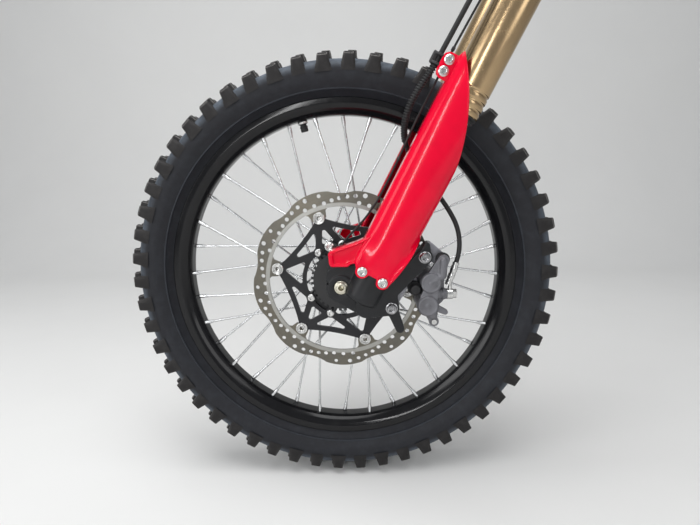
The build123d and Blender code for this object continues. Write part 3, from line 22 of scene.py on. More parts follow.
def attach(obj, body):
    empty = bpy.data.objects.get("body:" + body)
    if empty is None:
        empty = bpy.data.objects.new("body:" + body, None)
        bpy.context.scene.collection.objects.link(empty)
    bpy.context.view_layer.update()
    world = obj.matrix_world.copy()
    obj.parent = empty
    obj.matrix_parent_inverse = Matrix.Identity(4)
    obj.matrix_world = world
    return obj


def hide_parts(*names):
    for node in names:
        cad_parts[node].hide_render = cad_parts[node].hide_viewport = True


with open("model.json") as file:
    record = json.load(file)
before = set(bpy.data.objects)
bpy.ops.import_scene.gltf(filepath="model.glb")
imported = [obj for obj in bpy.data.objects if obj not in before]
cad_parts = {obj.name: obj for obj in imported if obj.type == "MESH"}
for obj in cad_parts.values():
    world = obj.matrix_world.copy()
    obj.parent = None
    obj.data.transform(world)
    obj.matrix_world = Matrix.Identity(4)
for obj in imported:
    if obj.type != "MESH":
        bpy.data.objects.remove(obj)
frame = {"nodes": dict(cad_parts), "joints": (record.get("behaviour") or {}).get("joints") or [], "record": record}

logging.basicConfig(level=logging.INFO, format="%(message)s")
log = logging.getLogger("wheel")

Array = np.ndarray
Socket = bpy.types.NodeSocket

MM = 0.001
RAKE_DEG = 27.5
# Points nearer than this become one, in metres: the CAD meshes', and the new grids'
WELD = 3e-6
SEAM = 1e-6
# Sizes that several pieces share, in millimetres and degrees; bolts are (n, s) in the leg frame
LEG_N, LEG_Y = 34.0, 100.0
DISC_Y = -55.5
LUG_START_DEG = 49.5
LOW_BOLTS = ((14.5, 40.0), (47.7, 38.3))
TOP_BOLTS = ((-10.5, 327.0), (-10.5, 343.0))


class Side(Enum):
    """A side of the part, with its sign along Y."""

    LEFT = -1.0
    RIGHT = 1.0

    @property
    def label(self) -> str:
        """The side's word in the names of nodes."""
        return self.name.lower()


def joint(name: str) -> dict:
    """Looks up a joint of the part.

    Args:
        name: The joint's name.

    Returns:
        The joint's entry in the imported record.
    """
    return next(entry for entry in frame["joints"] if entry["name"] == name)


AXLE = np.array(joint("wheel_spin")["pos_m"])
STEER_AXIS = np.array(joint("steering")["axis"])
LEG_UP = STEER_AXIS / np.linalg.norm(STEER_AXIS)
LEG_REAR = np.array([LEG_UP[2], 0.0, -LEG_UP[0]])
ACROSS = np.array([0.0, 1.0, 0.0])
CORD_SIDE = LEG_REAR * 0.4 + ACROSS


def from_leg(n: Array, y: Array, s: Array) -> Array:
    """Places leg-frame millimetres in the part's frame.

    Args:
        n: Distances rearward from the axle, square to the legs.
        y: Distances to the rider's right.
        s: Distances up the legs from the axle.

    Returns:
        Points in metres, with the coordinates as the last axis.
    """
    n, y, s = np.broadcast_arrays(n, y, s)
    flat = n[..., None] * LEG_REAR + y[..., None] * ACROSS + s[..., None] * LEG_UP
    return AXLE + flat * MM


def from_wheel(radius: Array, angle: Array, y: Array) -> Array:
    """Places wheel-frame cylinder coordinates in the part's frame.

    Args:
        radius: Distances from the axle, in millimetres.
        angle: Angles in radians, from rearward and up, as the rider's left side sees them.
        y: Distances to the rider's right, in millimetres.

    Returns:
        Points in metres, with the coordinates as the last axis.
    """
    radius, angle, y = np.broadcast_arrays(radius, angle, y)
    flat = np.stack([radius * np.cos(angle), y, radius * np.sin(angle)], axis=-1)
    return AXLE + flat * MM


def soften(corners: Array, radius: float, steps: int = 4, closed: bool = False) -> Array:
    """Rounds the corners of a polyline.

    Each corner becomes a quadratic Bezier arc whose ends lie on the two sides, at
    the radius from the corner or at 0.45 of the shorter side.

    Args:
        corners: Corner points, one per row.
        radius: How far from its corner an arc starts.
        steps: Points on each arc.
        closed: Whether the last point joins the first.

    Returns:
        The rounded line's points.
    """
    corners = np.asarray(corners, float)
    before, after = np.roll(corners, 1, axis=0), np.roll(corners, -1, axis=0)
    back, ahead = before - corners, after - corners
    back_l = np.linalg.norm(back, axis=1, keepdims=True)
    ahead_l = np.linalg.norm(ahead, axis=1, keepdims=True)
    reach = np.minimum(radius, 0.45 * np.minimum(back_l, ahead_l))
    start = corners + back / back_l * reach
    end = corners + ahead / ahead_l * reach
    t = np.linspace(0.0, 1.0, steps)[None, :, None]
    arcs = (1 - t) ** 2 * start[:, None] + 2 * t * (1 - t) * corners[:, None] + t**2 * end[:, None]
    if closed:
        return arcs.reshape(-1, corners.shape[1])
    inner = arcs[1:-1].reshape(-1, corners.shape[1])
    return np.vstack([corners[:1], inner, corners[-1:]])


class Skin:
    """Quads gathered from grids of points until they become one mesh."""

    def __init__(self) -> None:
        """Starts with no points."""
        self.points: list[Array] = []
        self.quads: list[Array] = []
        self.uvs: list[Array] = []
        self.count = 0

    def grid(self, points: Array, wrap_u: bool = False, wrap_v: bool = False, flip: bool = False) -> "Skin":
        """Adds a grid of points, or many like grids at once.

        Quad (i, j) joins the points (i, j), (i+1, j), (i+1, j+1) and (i, j+1).

        Args:
            points: Array of shape (..., rows, columns, 3).
            wrap_u: Whether the last row joins the first.
            wrap_v: Whether the last column joins the first.
            flip: Whether the quads face the other way.

        Returns:
            This skin, for chained calls.
        """
        rows, columns = points.shape[-3:-1]
        copies = points.reshape(-1, rows * columns, 3)
        i = np.arange(rows if wrap_u else rows - 1)[:, None]
        j = np.arange(columns if wrap_v else columns - 1)[None, :]
        i_next, j_next = (i + 1) % rows, (j + 1) % columns
        corners = [i * columns + j, i_next * columns + j, i_next * columns + j_next, i * columns + j_next]
        quad = np.stack([np.broadcast_to(c, (i.size, j.size)) for c in corners], axis=-1).reshape(-1, 4)
        if flip:
            quad = quad[:, ::-1]
        start = self.count + np.arange(len(copies))[:, None, None] * rows * columns
        self.quads.append((quad[None] + start).reshape(-1, 4))
        self.points.append(copies.reshape(-1, 3))
        self.count += copies.shape[0] * rows * columns
        u = np.broadcast_to(np.linspace(0, 1, rows)[:, None], (rows, columns))
        v = np.broadcast_to(np.linspace(0, 1, columns)[None, :], (rows, columns))
        uv = np.stack([u, v], axis=-1).reshape(1, -1, 2)
        self.uvs.append(np.broadcast_to(uv, (len(copies), rows * columns, 2)).reshape(-1, 2))
        return self

    def build(self, name: str, sharp_deg: float = 35.0) -> bpy.types.Object:
        """Makes the mesh, merges its seams and poles and turns its faces outwards.

        Args:
            name: The piece's name.
            sharp_deg: Edges sharper than this stay sharp.

        Returns:
            The new object, at the origin.
        """
        points, quads = np.vstack(self.points), np.vstack(self.quads)
        mesh = bpy.data.meshes.new(name)
        mesh.vertices.add(len(points))
        mesh.vertices.foreach_set("co", points.astype(np.float32).ravel())
        mesh.loops.add(quads.size)
        mesh.loops.foreach_set("vertex_index", quads.ravel().astype(np.int32))
        mesh.polygons.add(len(quads))
        mesh.polygons.foreach_set("loop_start", np.arange(0, quads.size, 4, dtype=np.int32))
        mesh.update(calc_edges=True)
        layer = mesh.uv_layers.new(name="UVMap")
        layer.data.foreach_set("uv", np.vstack(self.uvs)[quads.ravel()].astype(np.float32).ravel())
        work = bmesh.new()
        work.from_mesh(mesh)
        bmesh.ops.remove_doubles(work, verts=work.verts, dist=SEAM)
        bmesh.ops.dissolve_degenerate(work, edges=work.edges, dist=SEAM)
        bmesh.ops.recalc_face_normals(work, faces=work.faces)
        smooth(work, sharp_deg)
        return link_mesh(mesh, work, name)


def smooth(work: bmesh.types.BMesh, sharp_deg: float) -> None:
    """Shades every face smooth and keeps the sharp edges.

    Args:
        work: The open mesh.
        sharp_deg: Edges sharper than this stay sharp.
    """
    for face in work.faces:
        face.smooth = True
    for edge in work.edges:
        edge.smooth = len(edge.link_faces) == 2 and edge.calc_face_angle(0.0) < radians(sharp_deg)


def link_mesh(mesh: bpy.types.Mesh, work: bmesh.types.BMesh, name: str) -> bpy.types.Object:
    """Closes an open mesh and links an object that holds it.

    Args:
        mesh: The mesh that takes the result.
        work: The same mesh, open; it is freed.
        name: The object's name.

    Returns:
        The object, at the origin.
    """
    work.to_mesh(mesh)
    work.free()
    piece = bpy.data.objects.new(name, mesh)
    bpy.context.scene.collection.objects.link(piece)
    return piece


def copy_node(node: str) -> tuple[bpy.types.Mesh, bmesh.types.BMesh]:
    """Copies a CAD node's mesh and joins its loose triangles.

    Args:
        node: The CAD node.

    Returns:
        The copy, and the same mesh open for changes.
    """
    mesh = frame["nodes"][node].data.copy()
    mesh.name = node + "_form"
    work = bmesh.new()
    work.from_mesh(mesh)
    bmesh.ops.remove_doubles(work, verts=work.verts, dist=WELD)
    return mesh, work


def spin_wheel(profile: Array, segments: int = 240) -> Array:
    """Turns (radius, y) points about the axle.

    Args:
        profile: Profile points in millimetres.
        segments: Steps round the axle.

    Returns:
        A grid of points, with steps round the axle as rows.
    """
    angle = np.arange(segments) * 2 * pi / segments
    return from_wheel(profile[None, :, 0], angle[:, None], profile[None, :, 1])


def spin_leg(profile: Array, n: float, y: float, segments: int = 64) -> Array:
    """Turns (radius, s) points about a line along the leg.

    Args:
        profile: Profile points in millimetres.
        n: The line's place rearward.
        y: The line's place to the rider's right.
        segments: Steps round the line.

    Returns:
        A grid of points, with steps round the line as rows.
    """
    angle = (np.arange(segments) * 2 * pi / segments)[:, None]
    radius, s = profile[None, :, 0], profile[None, :, 1]
    return from_leg(n + radius * np.cos(angle), y + radius * np.sin(angle), s)


def square_to(path: Array, reference: Array) -> tuple[Array, Array]:
    """Finds two directions square to a path and to each other.

    Args:
        path: Points of shape (..., steps, 3).
        reference: A direction that the path never follows.

    Returns:
        At each step, the reference made square to the path, and its product with the path.
    """
    along = np.gradient(path, axis=-2)
    along /= np.linalg.norm(along, axis=-1, keepdims=True)
    first = reference - along * (along @ reference)[..., None]
    first /= np.linalg.norm(first, axis=-1, keepdims=True)
    return first, np.cross(along, first)


def tube(path: Array, radius: Array, sides: int = 10, reference: Array = CORD_SIDE) -> Array:
    """Carries a circle along a path and closes it with a pole at each end.

    At each step the circle lies in the plane of the two directions from square_to.

    Args:
        path: Points of shape (..., steps, 3).
        radius: One radius, or one for each step.
        sides: Points on the circle.
        reference: A direction that the path never follows.

    Returns:
        Points of shape (..., steps + 2, sides, 3).
    """
    first, second = square_to(path, reference)
    angle = np.arange(sides) * 2 * pi / sides
    radius = np.broadcast_to(np.asarray(radius, float), path.shape[-2:-1])
    ring = first[..., None, :] * np.cos(angle)[:, None] + second[..., None, :] * np.sin(angle)[:, None]
    body = path[..., None, :] + ring * radius[:, None, None]
    parts = slice(0, 1), slice(-1, None)
    start, end = (np.repeat(path[..., part, None, :], sides, axis=-2) for part in parts)
    return np.concatenate([start, body, end], axis=-3)


def lengths_along(path: Array) -> Array:
    """Distance of each point of a path from its start, measured along it."""
    return np.concatenate([[0.0], np.cumsum(np.linalg.norm(np.diff(path, axis=0), axis=1))])


def points_at(path: Array, at: Array) -> Array:
    """Points of a path at distances from its start, measured along it."""
    length = lengths_along(path)
    return np.stack([np.interp(at, length, path[:, k]) for k in range(3)], axis=-1)


class Graph:
    """A material's node tree, written from the shader back to its inputs."""

    def __init__(self, name: str) -> None:
        """Starts a material with a principled shader.

        Args:
            name: The material's name.
        """
        self.material = bpy.data.materials.new(name)
        self.material.use_nodes = True
        self.tree = self.material.node_tree
        self.shader = self.tree.nodes["Principled BSDF"]

    def node(self, kind: str, inputs: dict | None = None, **settings) -> bpy.types.Node:
        """Adds a node.

        Args:
            kind: Blender's name of the node type, without its prefix.
            inputs: Values or sockets for its inputs, by name or number.
            **settings: Attributes of the node.

        Returns:
            The new node.
        """
        made = self.tree.nodes.new("ShaderNode" + kind)
        for key, value in settings.items():
            setattr(made, key, value)
        for key, value in (inputs or {}).items():
            self.feed(made.inputs[key], value)
        return made

    def feed(self, socket: Socket, value: object) -> None:
        """Links a socket to another, or sets its value.

        Args:
            socket: The input.
            value: Another node's output, or a plain value.
        """
        if isinstance(value, Socket):
            self.tree.links.new(value, socket)
        else:
            socket.default_value = value

    def math(self, operation: str, *values: object) -> Socket:
        """Works out one number from others."""
        return self.node("Math", dict(enumerate(values)), operation=operation).outputs[0]

    def place(self, centre: Array, scale: tuple = (1.0, 1.0, 1.0), turn_y: float = 0.0) -> Socket:
        """Object coordinates measured from a centre, turned and scaled.

        Args:
            centre: The pattern's centre, in metres.
            scale: Factors along the turned axes.
            turn_y: Turn about Y, in degrees.

        Returns:
            The coordinates' socket.
        """
        coords = self.node("TexCoord").outputs["Object"]
        moved = self.node("Mapping", {"Vector": coords, "Location": [-float(c) for c in centre]})
        turned = self.node(
            "Mapping", {"Vector": moved.outputs[0], "Rotation": (0.0, radians(turn_y), 0.0), "Scale": scale}
        )
        return turned.outputs[0]

    def noise(self, vector: Socket, scale: float, detail: float = 3.0, rough: float = 0.6) -> Socket:
        """A noise field's value."""
        made = self.node("TexNoise", {"Vector": vector, "Scale": scale, "Detail": detail, "Roughness": rough})
        return made.outputs["Fac"]

    def ramp(self, value: Socket, low: float, high: float, out_low: float = 0.0,
             out_high: float = 1.0) -> Socket:
        """Maps a range of values to another, held at its ends.

        Args:
            value: The number to map.
            low: Where the range starts.
            high: Where it ends.
            out_low: What low becomes.
            out_high: What high becomes.

        Returns:
            The mapped number's socket.
        """
        made = self.node(
            "MapRange",
            {"Value": value, "From Min": low, "From Max": high, "To Min": out_low, "To Max": out_high},
            clamp=True,
        )
        return made.outputs["Result"]

    def blend(self, factor: object, first: object, second: object) -> Socket:
        """Mixes two colours.

        Args:
            factor: 0 for the first, 1 for the second.
            first: A colour or a socket.
            second: The other colour or socket.

        Returns:
            The mixed colour's socket.
        """
        made = self.node("Mix", {}, data_type="RGBA")
        self.feed(made.inputs["Factor"], factor)
        self.feed(made.inputs["A"], (*first, 1.0) if isinstance(first, tuple) else first)
        self.feed(made.inputs["B"], (*second, 1.0) if isinstance(second, tuple) else second)
        return made.outputs["Result"]

    def bump(self, height: Socket, distance: float) -> Socket:
        """A bump's normal from a height of 0 to 1 and its distance in metres."""
        return self.node("Bump", {"Height": height, "Distance": distance, "Strength": 1.0}).outputs["Normal"]

    def radius(self, at: Socket) -> Socket:
        """Works out the distance from the wheel's axis, the root of x squared plus z squared.

        Args:
            at: A place measured from the axle.

        Returns:
            The distance's socket.
        """
        split = self.node("SeparateXYZ", {0: at}).outputs
        x, z = split["X"], split["Z"]
        return self.math("SQRT", self.math("ADD", self.math("MULTIPLY", x, x), self.math("MULTIPLY", z, z)))

    def edges(self, radius: float) -> Socket:
        """Finds sharp edges, where the normal of a bevel departs from the plain one.

        An edge starts to count where one less the normals' product passes low, and
        counts fully at high.

        Args:
            radius: How far from an edge it reaches, in metres.

        Returns:
            How near a sharp edge a point lies, from 0 to 1.
        """
        low, high = 0.002, 0.04
        soft = self.node("Bevel", {"Radius": radius}, samples=4).outputs[0]
        plain = self.node("NewGeometry").outputs["Normal"]
        dot = self.node("VectorMath", {0: soft, 1: plain}, operation="DOT_PRODUCT").outputs["Value"]
        return self.ramp(self.math("SUBTRACT", 1.0, dot), low, high)

    def set(self, **inputs: object) -> bpy.types.Material:
        """Sets or links the shader's inputs.

        Args:
            **inputs: Values or sockets by the input's name, with _ for a space.

        Returns:
            The finished material.
        """
        for key, value in inputs.items():
            name = key.replace("_", " ")
            if isinstance(value, tuple) and len(value) == 3:
                value = (*value, 1.0)
            self.feed(self.shader.inputs[name], value)
        return self.material


@dataclass(frozen=True)
class Finish:
    """What every finish has.

    Attributes:
        name: The material's name.
        colour: Linear base colour.
        roughness: Mean roughness.
    """

    name: str
    colour: tuple[float, float, float]
    roughness: float

    def shade(self, factor: float) -> tuple[float, float, float]:
        """The base colour times a factor, at most white."""
        return tuple(min(1.0, c * factor) for c in self.colour)

    def material(self) -> bpy.types.Material:
        """Makes the material, in each kind of finish its own way."""
        raise NotImplementedError


@dataclass(frozen=True)
class GlossMoulding(Finish):
    """Glossy moulded plastic with a faint ripple and fine scuffs.

    Attributes:
        ripple: Height of the ripple, in metres.
        scuffs: How the scuffs' noise is scaled along X, Y and Z once turned.
        scuff_deg: Their turn about Y.
    """

    ripple: float = 0.00003
    scuffs: tuple[float, float, float] = (60.0, 60.0, 1400.0)
    scuff_deg: float = 35.0

    def material(self) -> bpy.types.Material:
        """Makes clear-coated plastic: slow noise ripples it, stretched noise scuffs it.

        Returns:
            The material.
        """
        g = Graph(self.name)
        at = g.place(AXLE, turn_y=-RAKE_DEG)
        slow = g.noise(at, 22.0, 2.0)
        fine = g.noise(at, 900.0, 2.0)
        scuff = g.ramp(g.noise(g.place(AXLE, self.scuffs, self.scuff_deg), 1.0, 4.0), 0.66, 0.8)
        colour = g.blend(g.ramp(slow, 0.3, 0.7), self.shade(0.92), self.shade(1.05))
        rough = g.math("ADD", g.ramp(fine, 0.3, 0.7, self.roughness - 0.03, self.roughness + 0.05),
                       g.math("MULTIPLY", scuff, 0.14))
        bump = g.bump(g.math("ADD", slow, g.math("MULTIPLY", fine, 0.06)), self.ripple)
        return g.set(Base_Color=colour, Roughness=rough, Normal=bump, Coat_Weight=0.26, Coat_Roughness=0.04,
                     IOR=1.5, Specular_IOR_Level=0.14)


@dataclass(frozen=True)
class SatinPaint(Finish):
    """Powder coat or anodising over metal, with paler worn edges.

    Attributes:
        grain: Scale of the grain's noise, per metre.
        grain_depth: Its depth, in metres.
        wear: How pale the edges are worn, from 0 to 1.
        metallic: The shader's metallic share.
        specular: The shader's specular level.
    """

    grain: float = 1400.0
    grain_depth: float = 0.00002
    wear: float = 0.5
    metallic: float = 0.0
    specular: float = 0.5

    def material(self) -> bpy.types.Material:
        """Makes a coat that fine grain bumps and whose edges turn paler and smoother.

        Returns:
            The material.
        """
        g = Graph(self.name)
        at = g.place(AXLE)
        fine = g.noise(at, self.grain, 3.0)
        broad = g.noise(at, 34.0, 4.0)
        edge = g.math("MULTIPLY", g.edges(0.0008), g.ramp(broad, 0.4, 0.62, 0.3, 1.0))
        body = g.blend(g.ramp(broad, 0.3, 0.7), self.shade(0.85), self.shade(1.2))
        colour = g.blend(g.math("MULTIPLY", edge, self.wear), body, self.shade(4.0))
        rough = g.math("ADD", g.ramp(broad, 0.3, 0.7, self.roughness - 0.06, self.roughness + 0.06),
                       g.math("MULTIPLY", edge, -0.1))
        return g.set(Base_Color=colour, Roughness=rough, Metallic=self.metallic,
                     Specular_IOR_Level=self.specular, Normal=g.bump(fine, self.grain_depth))


@dataclass(frozen=True)
class CastMetal(Finish):
    """Sand-cast or bead-blasted alloy, rough to the touch.

    Attributes:
        metallic: The shader's metallic share.
        pit_depth: Depth of the pits and grain, in metres.
    """

    metallic: float = 0.75
    pit_depth: float = 0.00006

    def material(self) -> bpy.types.Material:
        """Makes metal with cellular pits under fine grain, in broad patches, with bright edges.

        Returns:
            The material.
        """
        g = Graph(self.name)
        at = g.place(AXLE)
        pits = g.node("TexVoronoi", {"Vector": at, "Scale": 700.0}).outputs["Distance"]
        grain = g.noise(at, 1500.0, 4.0)
        broad = g.noise(at, 45.0, 4.0)
        edge = g.edges(0.0009)
        body = g.blend(g.ramp(broad, 0.3, 0.7), self.shade(0.75), self.shade(1.15))
        colour = g.blend(g.math("MULTIPLY", edge, 0.6), body, self.shade(1.9))
        height = g.math("ADD", g.math("MULTIPLY", pits, 0.7), grain)
        rough = g.ramp(broad, 0.3, 0.7, self.roughness - 0.08, self.roughness + 0.08)
        return g.set(Base_Color=colour, Roughness=rough, Metallic=self.metallic,
                     Normal=g.bump(height, self.pit_depth))


@dataclass(frozen=True)
class TurnedMetal(Finish):
    """Bare or plated metal with fine tool marks and smudges.

    Attributes:
        marks: How much the marks change the roughness.
        tint: How much they darken the colour.
        turn: Turn of the marks about Y, in degrees.
        stretch: How their noise is scaled along X, Y and Z once turned.
        mark_depth: Their depth, in metres.
    """

    marks: float = 0.05
    tint: float = 0.14
    turn: float = -RAKE_DEG
    stretch: tuple[float, float, float] = (500.0, 500.0, 12.0)
    mark_depth: float = 0.000006

    def material(self) -> bpy.types.Material:
        """Makes metal whose marks are noise drawn out along the work and whose smudges are slow noise.

        Returns:
            The material.
        """
        g = Graph(self.name)
        drawn = g.noise(g.place(AXLE, self.stretch, self.turn), 1.0, 4.0)
        smudge = g.noise(g.place(AXLE), 60.0, 4.0)
        colour = g.blend(g.ramp(drawn, 0.3, 0.7), self.shade(1 - self.tint), self.shade(1 + self.tint / 2))
        marked = g.ramp(drawn, 0.3, 0.7, self.roughness - self.marks, self.roughness + self.marks)
        rough = g.math("ADD", marked, g.ramp(smudge, 0.45, 0.75, 0.0, 0.07))
        return g.set(Base_Color=colour, Roughness=rough, Metallic=1.0, Normal=g.bump(drawn, self.mark_depth))


@dataclass(frozen=True)
class Rubber(Finish):
    """Moulded rubber, matt, with a bloom of dust that on the tyre also paints a sheen.

    Attributes:
        bloom: Linear colour of the bloom: dust, and on the tyre painted sheen as well.
        worn: Its share on the edges.
        patchy: Its share in the patches.
        dusty_r: Radius from the axle where a band of dust and painted sheen starts, in metres, or 0 for none.
        band: How far beyond that the band is full, in metres.
        soft_r: How far the worn edges reach, in metres.
        grain_depth: Depth of the grain, in metres.
    """

    bloom: tuple[float, float, float] = (0.07, 0.074, 0.082)
    worn: float = 0.35
    patchy: float = 0.3
    dusty_r: float = 0.0
    band: float = 0.014
    soft_r: float = 0.0014
    grain_depth: float = 0.00005

    def material(self) -> bpy.types.Material:
        """Makes rubber with fine grain, under bloom in patches, on the edges and in the outer band of dust and
        painted sheen.

        Returns:
            The material.
        """
        g = Graph(self.name)
        at = g.place(AXLE)
        grain = g.noise(at, 1100.0, 4.0)
        cloud = g.noise(at, 65.0, 6.0)
        edge = g.math("MULTIPLY", g.edges(self.soft_r), self.worn)
        mask = g.math("ADD", g.ramp(cloud, 0.45, 0.8, 0.0, self.patchy), edge)
        # From this radius outward the bloom colour paints a sheen along with the dust.
        if self.dusty_r:
            band = g.ramp(g.radius(at), self.dusty_r, self.dusty_r + self.band)
            mask = g.math("ADD", mask, g.math("MULTIPLY", band, g.ramp(cloud, 0.3, 0.7, 0.35, 0.9)))
        colour = g.blend(g.math("MINIMUM", mask, 1.0), self.colour, self.bloom)
        rough = g.ramp(grain, 0.3, 0.7, self.roughness - 0.06, self.roughness + 0.06)
        return g.set(Base_Color=colour, Roughness=rough, Specular_IOR_Level=0.32,
                     Normal=g.bump(grain, self.grain_depth))


@dataclass(frozen=True)
class RingBrushed(Finish):
    """The disc's steel: brushed round the axle, with a bright band that the pads don't rub.

    Attributes:
        stain: Linear colour of the warm stains.
        bare: Linear colour of the bright band.
        bare_r: Radii in metres where the band starts, is full, ends being full and is gone.
        ring_depth: Depth of the brushing, in metres.
    """

    stain: tuple[float, float, float] = (0.19, 0.165, 0.125)
    bare: tuple[float, float, float] = (0.50, 0.50, 0.48)
    bare_r: tuple[float, float, float, float] = (0.1140, 0.1146, 0.1205, 0.1212)
    ring_depth: float = 0.00001

    def material(self) -> bpy.types.Material:
        """Makes steel whose rings round the axle are noise over radius and a little of the angle.

        Returns:
            The material.
        """
        g = Graph(self.name)
        at = g.place(AXLE)
        split = g.node("SeparateXYZ", {0: at}).outputs
        radius = g.radius(at)
        angle = g.math("ARCTAN2", split["Z"], split["X"])
        across, round_it = g.math("MULTIPLY", radius, 2600.0), g.math("MULTIPLY", angle, 3.0)
        rings = g.node("CombineXYZ", {0: across, 1: round_it})
        lines = g.noise(rings.outputs[0], 1.0, 5.0, 0.7)
        patch = g.noise(at, 30.0, 4.0)
        ends = g.ramp(radius, *self.bare_r[2:], 1.0, 0.0)
        band = g.math("MULTIPLY", ends, g.ramp(radius, *self.bare_r[:2]))
        body = g.blend(g.ramp(lines, 0.3, 0.7), self.shade(0.72), self.shade(1.2))
        warm = g.blend(g.ramp(patch, 0.35, 0.7, 0.0, 0.5), body, self.stain)
        colour = g.blend(g.math("MULTIPLY", band, 0.6), warm, self.bare)
        rough = g.ramp(lines, 0.3, 0.7, self.roughness - 0.08, self.roughness + 0.1)
        return g.set(Base_Color=colour, Roughness=rough, Metallic=1.0, Normal=g.bump(lines, self.ring_depth))


CRIMSON = GlossMoulding("crimson_moulding", (0.76, 0.0, 0.028), 0.17)
RIM_COAT = SatinPaint("rim_coat", (0.006, 0.006, 0.007), 0.14, 2200.0, 0.000004, 0.15, specular=0.3)
HUB_COAT = SatinPaint("hub_coat", (0.015, 0.015, 0.017), 0.38, specular=0.3)
FORK_COAT = SatinPaint("fork_coat", (0.013, 0.0135, 0.015), 0.40, specular=0.3)
DISC_STEEL = RingBrushed("disc_steel", (0.150, 0.143, 0.124), 0.36)
GOLD = TurnedMetal("gold_anodising", (0.52, 0.37, 0.21), 0.22, 0.02, tint=0.05)
CHROME = TurnedMetal("hard_chrome", (0.62, 0.62, 0.63), 0.10, 0.02)
BRIGHT = TurnedMetal("bright_steel", (0.56, 0.56, 0.55), 0.22, 0.05)
ZINC = TurnedMetal("zinc_plate", (0.62, 0.62, 0.61), 0.26, 0.06)
BOLT_STEEL = TurnedMetal("bolt_steel", (0.36, 0.36, 0.37), 0.24, 0.05)
SPOKE_STEEL = TurnedMetal("spoke_steel", (0.74, 0.75, 0.76), 0.24, 0.04)
AXLE_END = TurnedMetal("axle_end", (0.66, 0.63, 0.52), 0.30, 0.05)
DARK_STEEL = TurnedMetal("dark_steel", (0.10, 0.10, 0.105), 0.38, 0.06)
TONE_COAT = SatinPaint("tone_coat", (0.014, 0.014, 0.015), 0.42)
CALIPER_CAST = CastMetal("caliper_cast", (0.185, 0.185, 0.20), 0.52)
BRACKET_CAST = CastMetal("bracket_cast", (0.33, 0.33, 0.36), 0.45)
# The tyre's faint blue tint and its pale blue-grey bloom in the outer band are dust together with painted sheen.
TYRE_RUBBER = Rubber(
    "tyre_rubber", (0.0105, 0.0112, 0.0150), 0.58, (0.135, 0.165, 0.205),
    worn=0.15, patchy=0.06, dusty_r=0.318,
)
TREAD_RUBBER = Rubber(
    "tread_rubber", (0.0120, 0.0108, 0.0112), 0.66, (0.27, 0.26, 0.25),
    worn=0.9, patchy=0.05, soft_r=0.0022,
)
SOFT_RUBBER = Rubber("soft_rubber", (0.014, 0.014, 0.015), 0.5, (0.04, 0.04, 0.04))
MATT_PLASTIC = SatinPaint("matt_plastic", (0.018, 0.018, 0.019), 0.45, 900.0, 0.00004, 0.2)
LINING = CastMetal("pad_lining", (0.07, 0.065, 0.06), 0.8, 0.2)

NODES_BY_FINISH = {
    TYRE_RUBBER: ("tyre",),
    RIM_COAT: ("rim",),
    SPOKE_STEEL: ("spokes",),
    HUB_COAT: ("hub", "disc_carrier"),
    DISC_STEEL: ("brake_disc",),
    TONE_COAT: ("tone_ring",),
    BRIGHT: ("hub_bearings", "axle", "axle_collars", "slide_pins", "stem_nut", "bearing_cones"),
    ZINC: ("disc_buttons", "disc_bolts", "flanged_bolts", "caliper_bolts", "hose_fittings", "banjo_bolts",
           "pinch_bolts"),
    SOFT_RUBBER: ("valve", "dust_seals", "pin_boots", "brake_hose", "sensor_wire"),
    FORK_COAT: ("axle_holder_left", "axle_holder_right", "fork_caps", "lower_clamp", "upper_clamp"),
    CHROME: ("inner_tube_left", "inner_tube_right"),
    GOLD: ("outer_tube_left", "outer_tube_right"),
    CRIMSON: ("guard_left", "guard_right"),
    CALIPER_CAST: ("caliper_body",),
    BRACKET_CAST: ("caliper_bracket",),
    LINING: ("brake_pads",),
    MATT_PLASTIC: ("hose_clamp", "speed_sensor", "wire_connector"),
    DARK_STEEL: ("steering_stem", "lower_race", "upper_race"),
}
CAD_FINISHES = {node: finish for finish, nodes in NODES_BY_FINISH.items() for node in nodes}

# Routes in the leg frame, as n, y and s in millimetres
HOSE_ROUTE = (
    (138.0, -98.0, 83.0),
    (135.5, -97.5, 104.0),
    (129.8, -94.0, 129.6),
    (113.3, -88.0, 154.8),
    (88.4, -80.0, 172.3),
    (57.8, -74.0, 187.9),
    (25.3, -72.0, 202.6),
    (-1.8, -77.0, 217.8),
    (-21.8, -91.0, 238.9),
    (-30.5, -106.0, 267.8),
    (-29.2, -114.0, 299.0),
    (-24.6, -115.5, 326.0),
    (-23.8, -115.5, 352.0),
    (-22.4, -114.6, 392.0),
    (-21.2, -113.0, 436.0),
    (-19.7, -111.0, 480.0),
    (-18.3, -109.0, 522.0),
    (-17.6, -108.0, 558.0),
)
WIRE_ROUTE = (
    (-27.0, -97.0, 52.0),
    (-25.0, -95.5, 68.0),
    (-18.0, -92.0, 88.0),
    (-12.5, -91.0, 110.0),
    (-9.0, -92.0, 140.0),
    (-9.0, -97.0, 172.0),
    (-10.0, -100.0, 205.0),
    (-12.0, -102.5, 240.0),
    (-13.0, -104.0, 275.0),
    (-12.6, -104.6, 310.0),
    (-12.0, -104.7, 345.0),
    (-10.5, -104.0, 390.0),
    (-8.5, -102.0, 435.0),
    (-6.8, -99.0, 480.0),
    (-5.8, -96.0, 518.0),
    (-5.5, -95.0, 548.0),
)
# Nodes that keep their CAD form, and how far their edges are rounded, in millimetres
CASTINGS = {
    "hub": 0.7,
    "brake_disc": 0.3,
    "disc_carrier": 0.5,
    "tone_ring": 0.3,
    "axle_collars": 0.4,
    "fork_caps": 0.6,
    "slide_pins": 0.4,
    "brake_pads": 0.4,
    "hose_fittings": 0.5,
    "banjo_bolts": 0.5,
    "speed_sensor": 0.6,
    "wire_connector": 0.8,
    "steering_stem": 0.5,
    "stem_nut": 0.6,
}


@lru_cache(maxsize=None)
def coat(finish: Finish) -> bpy.types.Material:
    """The finish's material, made once."""
    return finish.material()


def body_of(node: str) -> str:
    """The name of the body that a CAD node rides on."""
    bodies = frame["record"]["behaviour"]["bodies"]
    return next(body for body, nodes in bodies.items() if node in nodes)


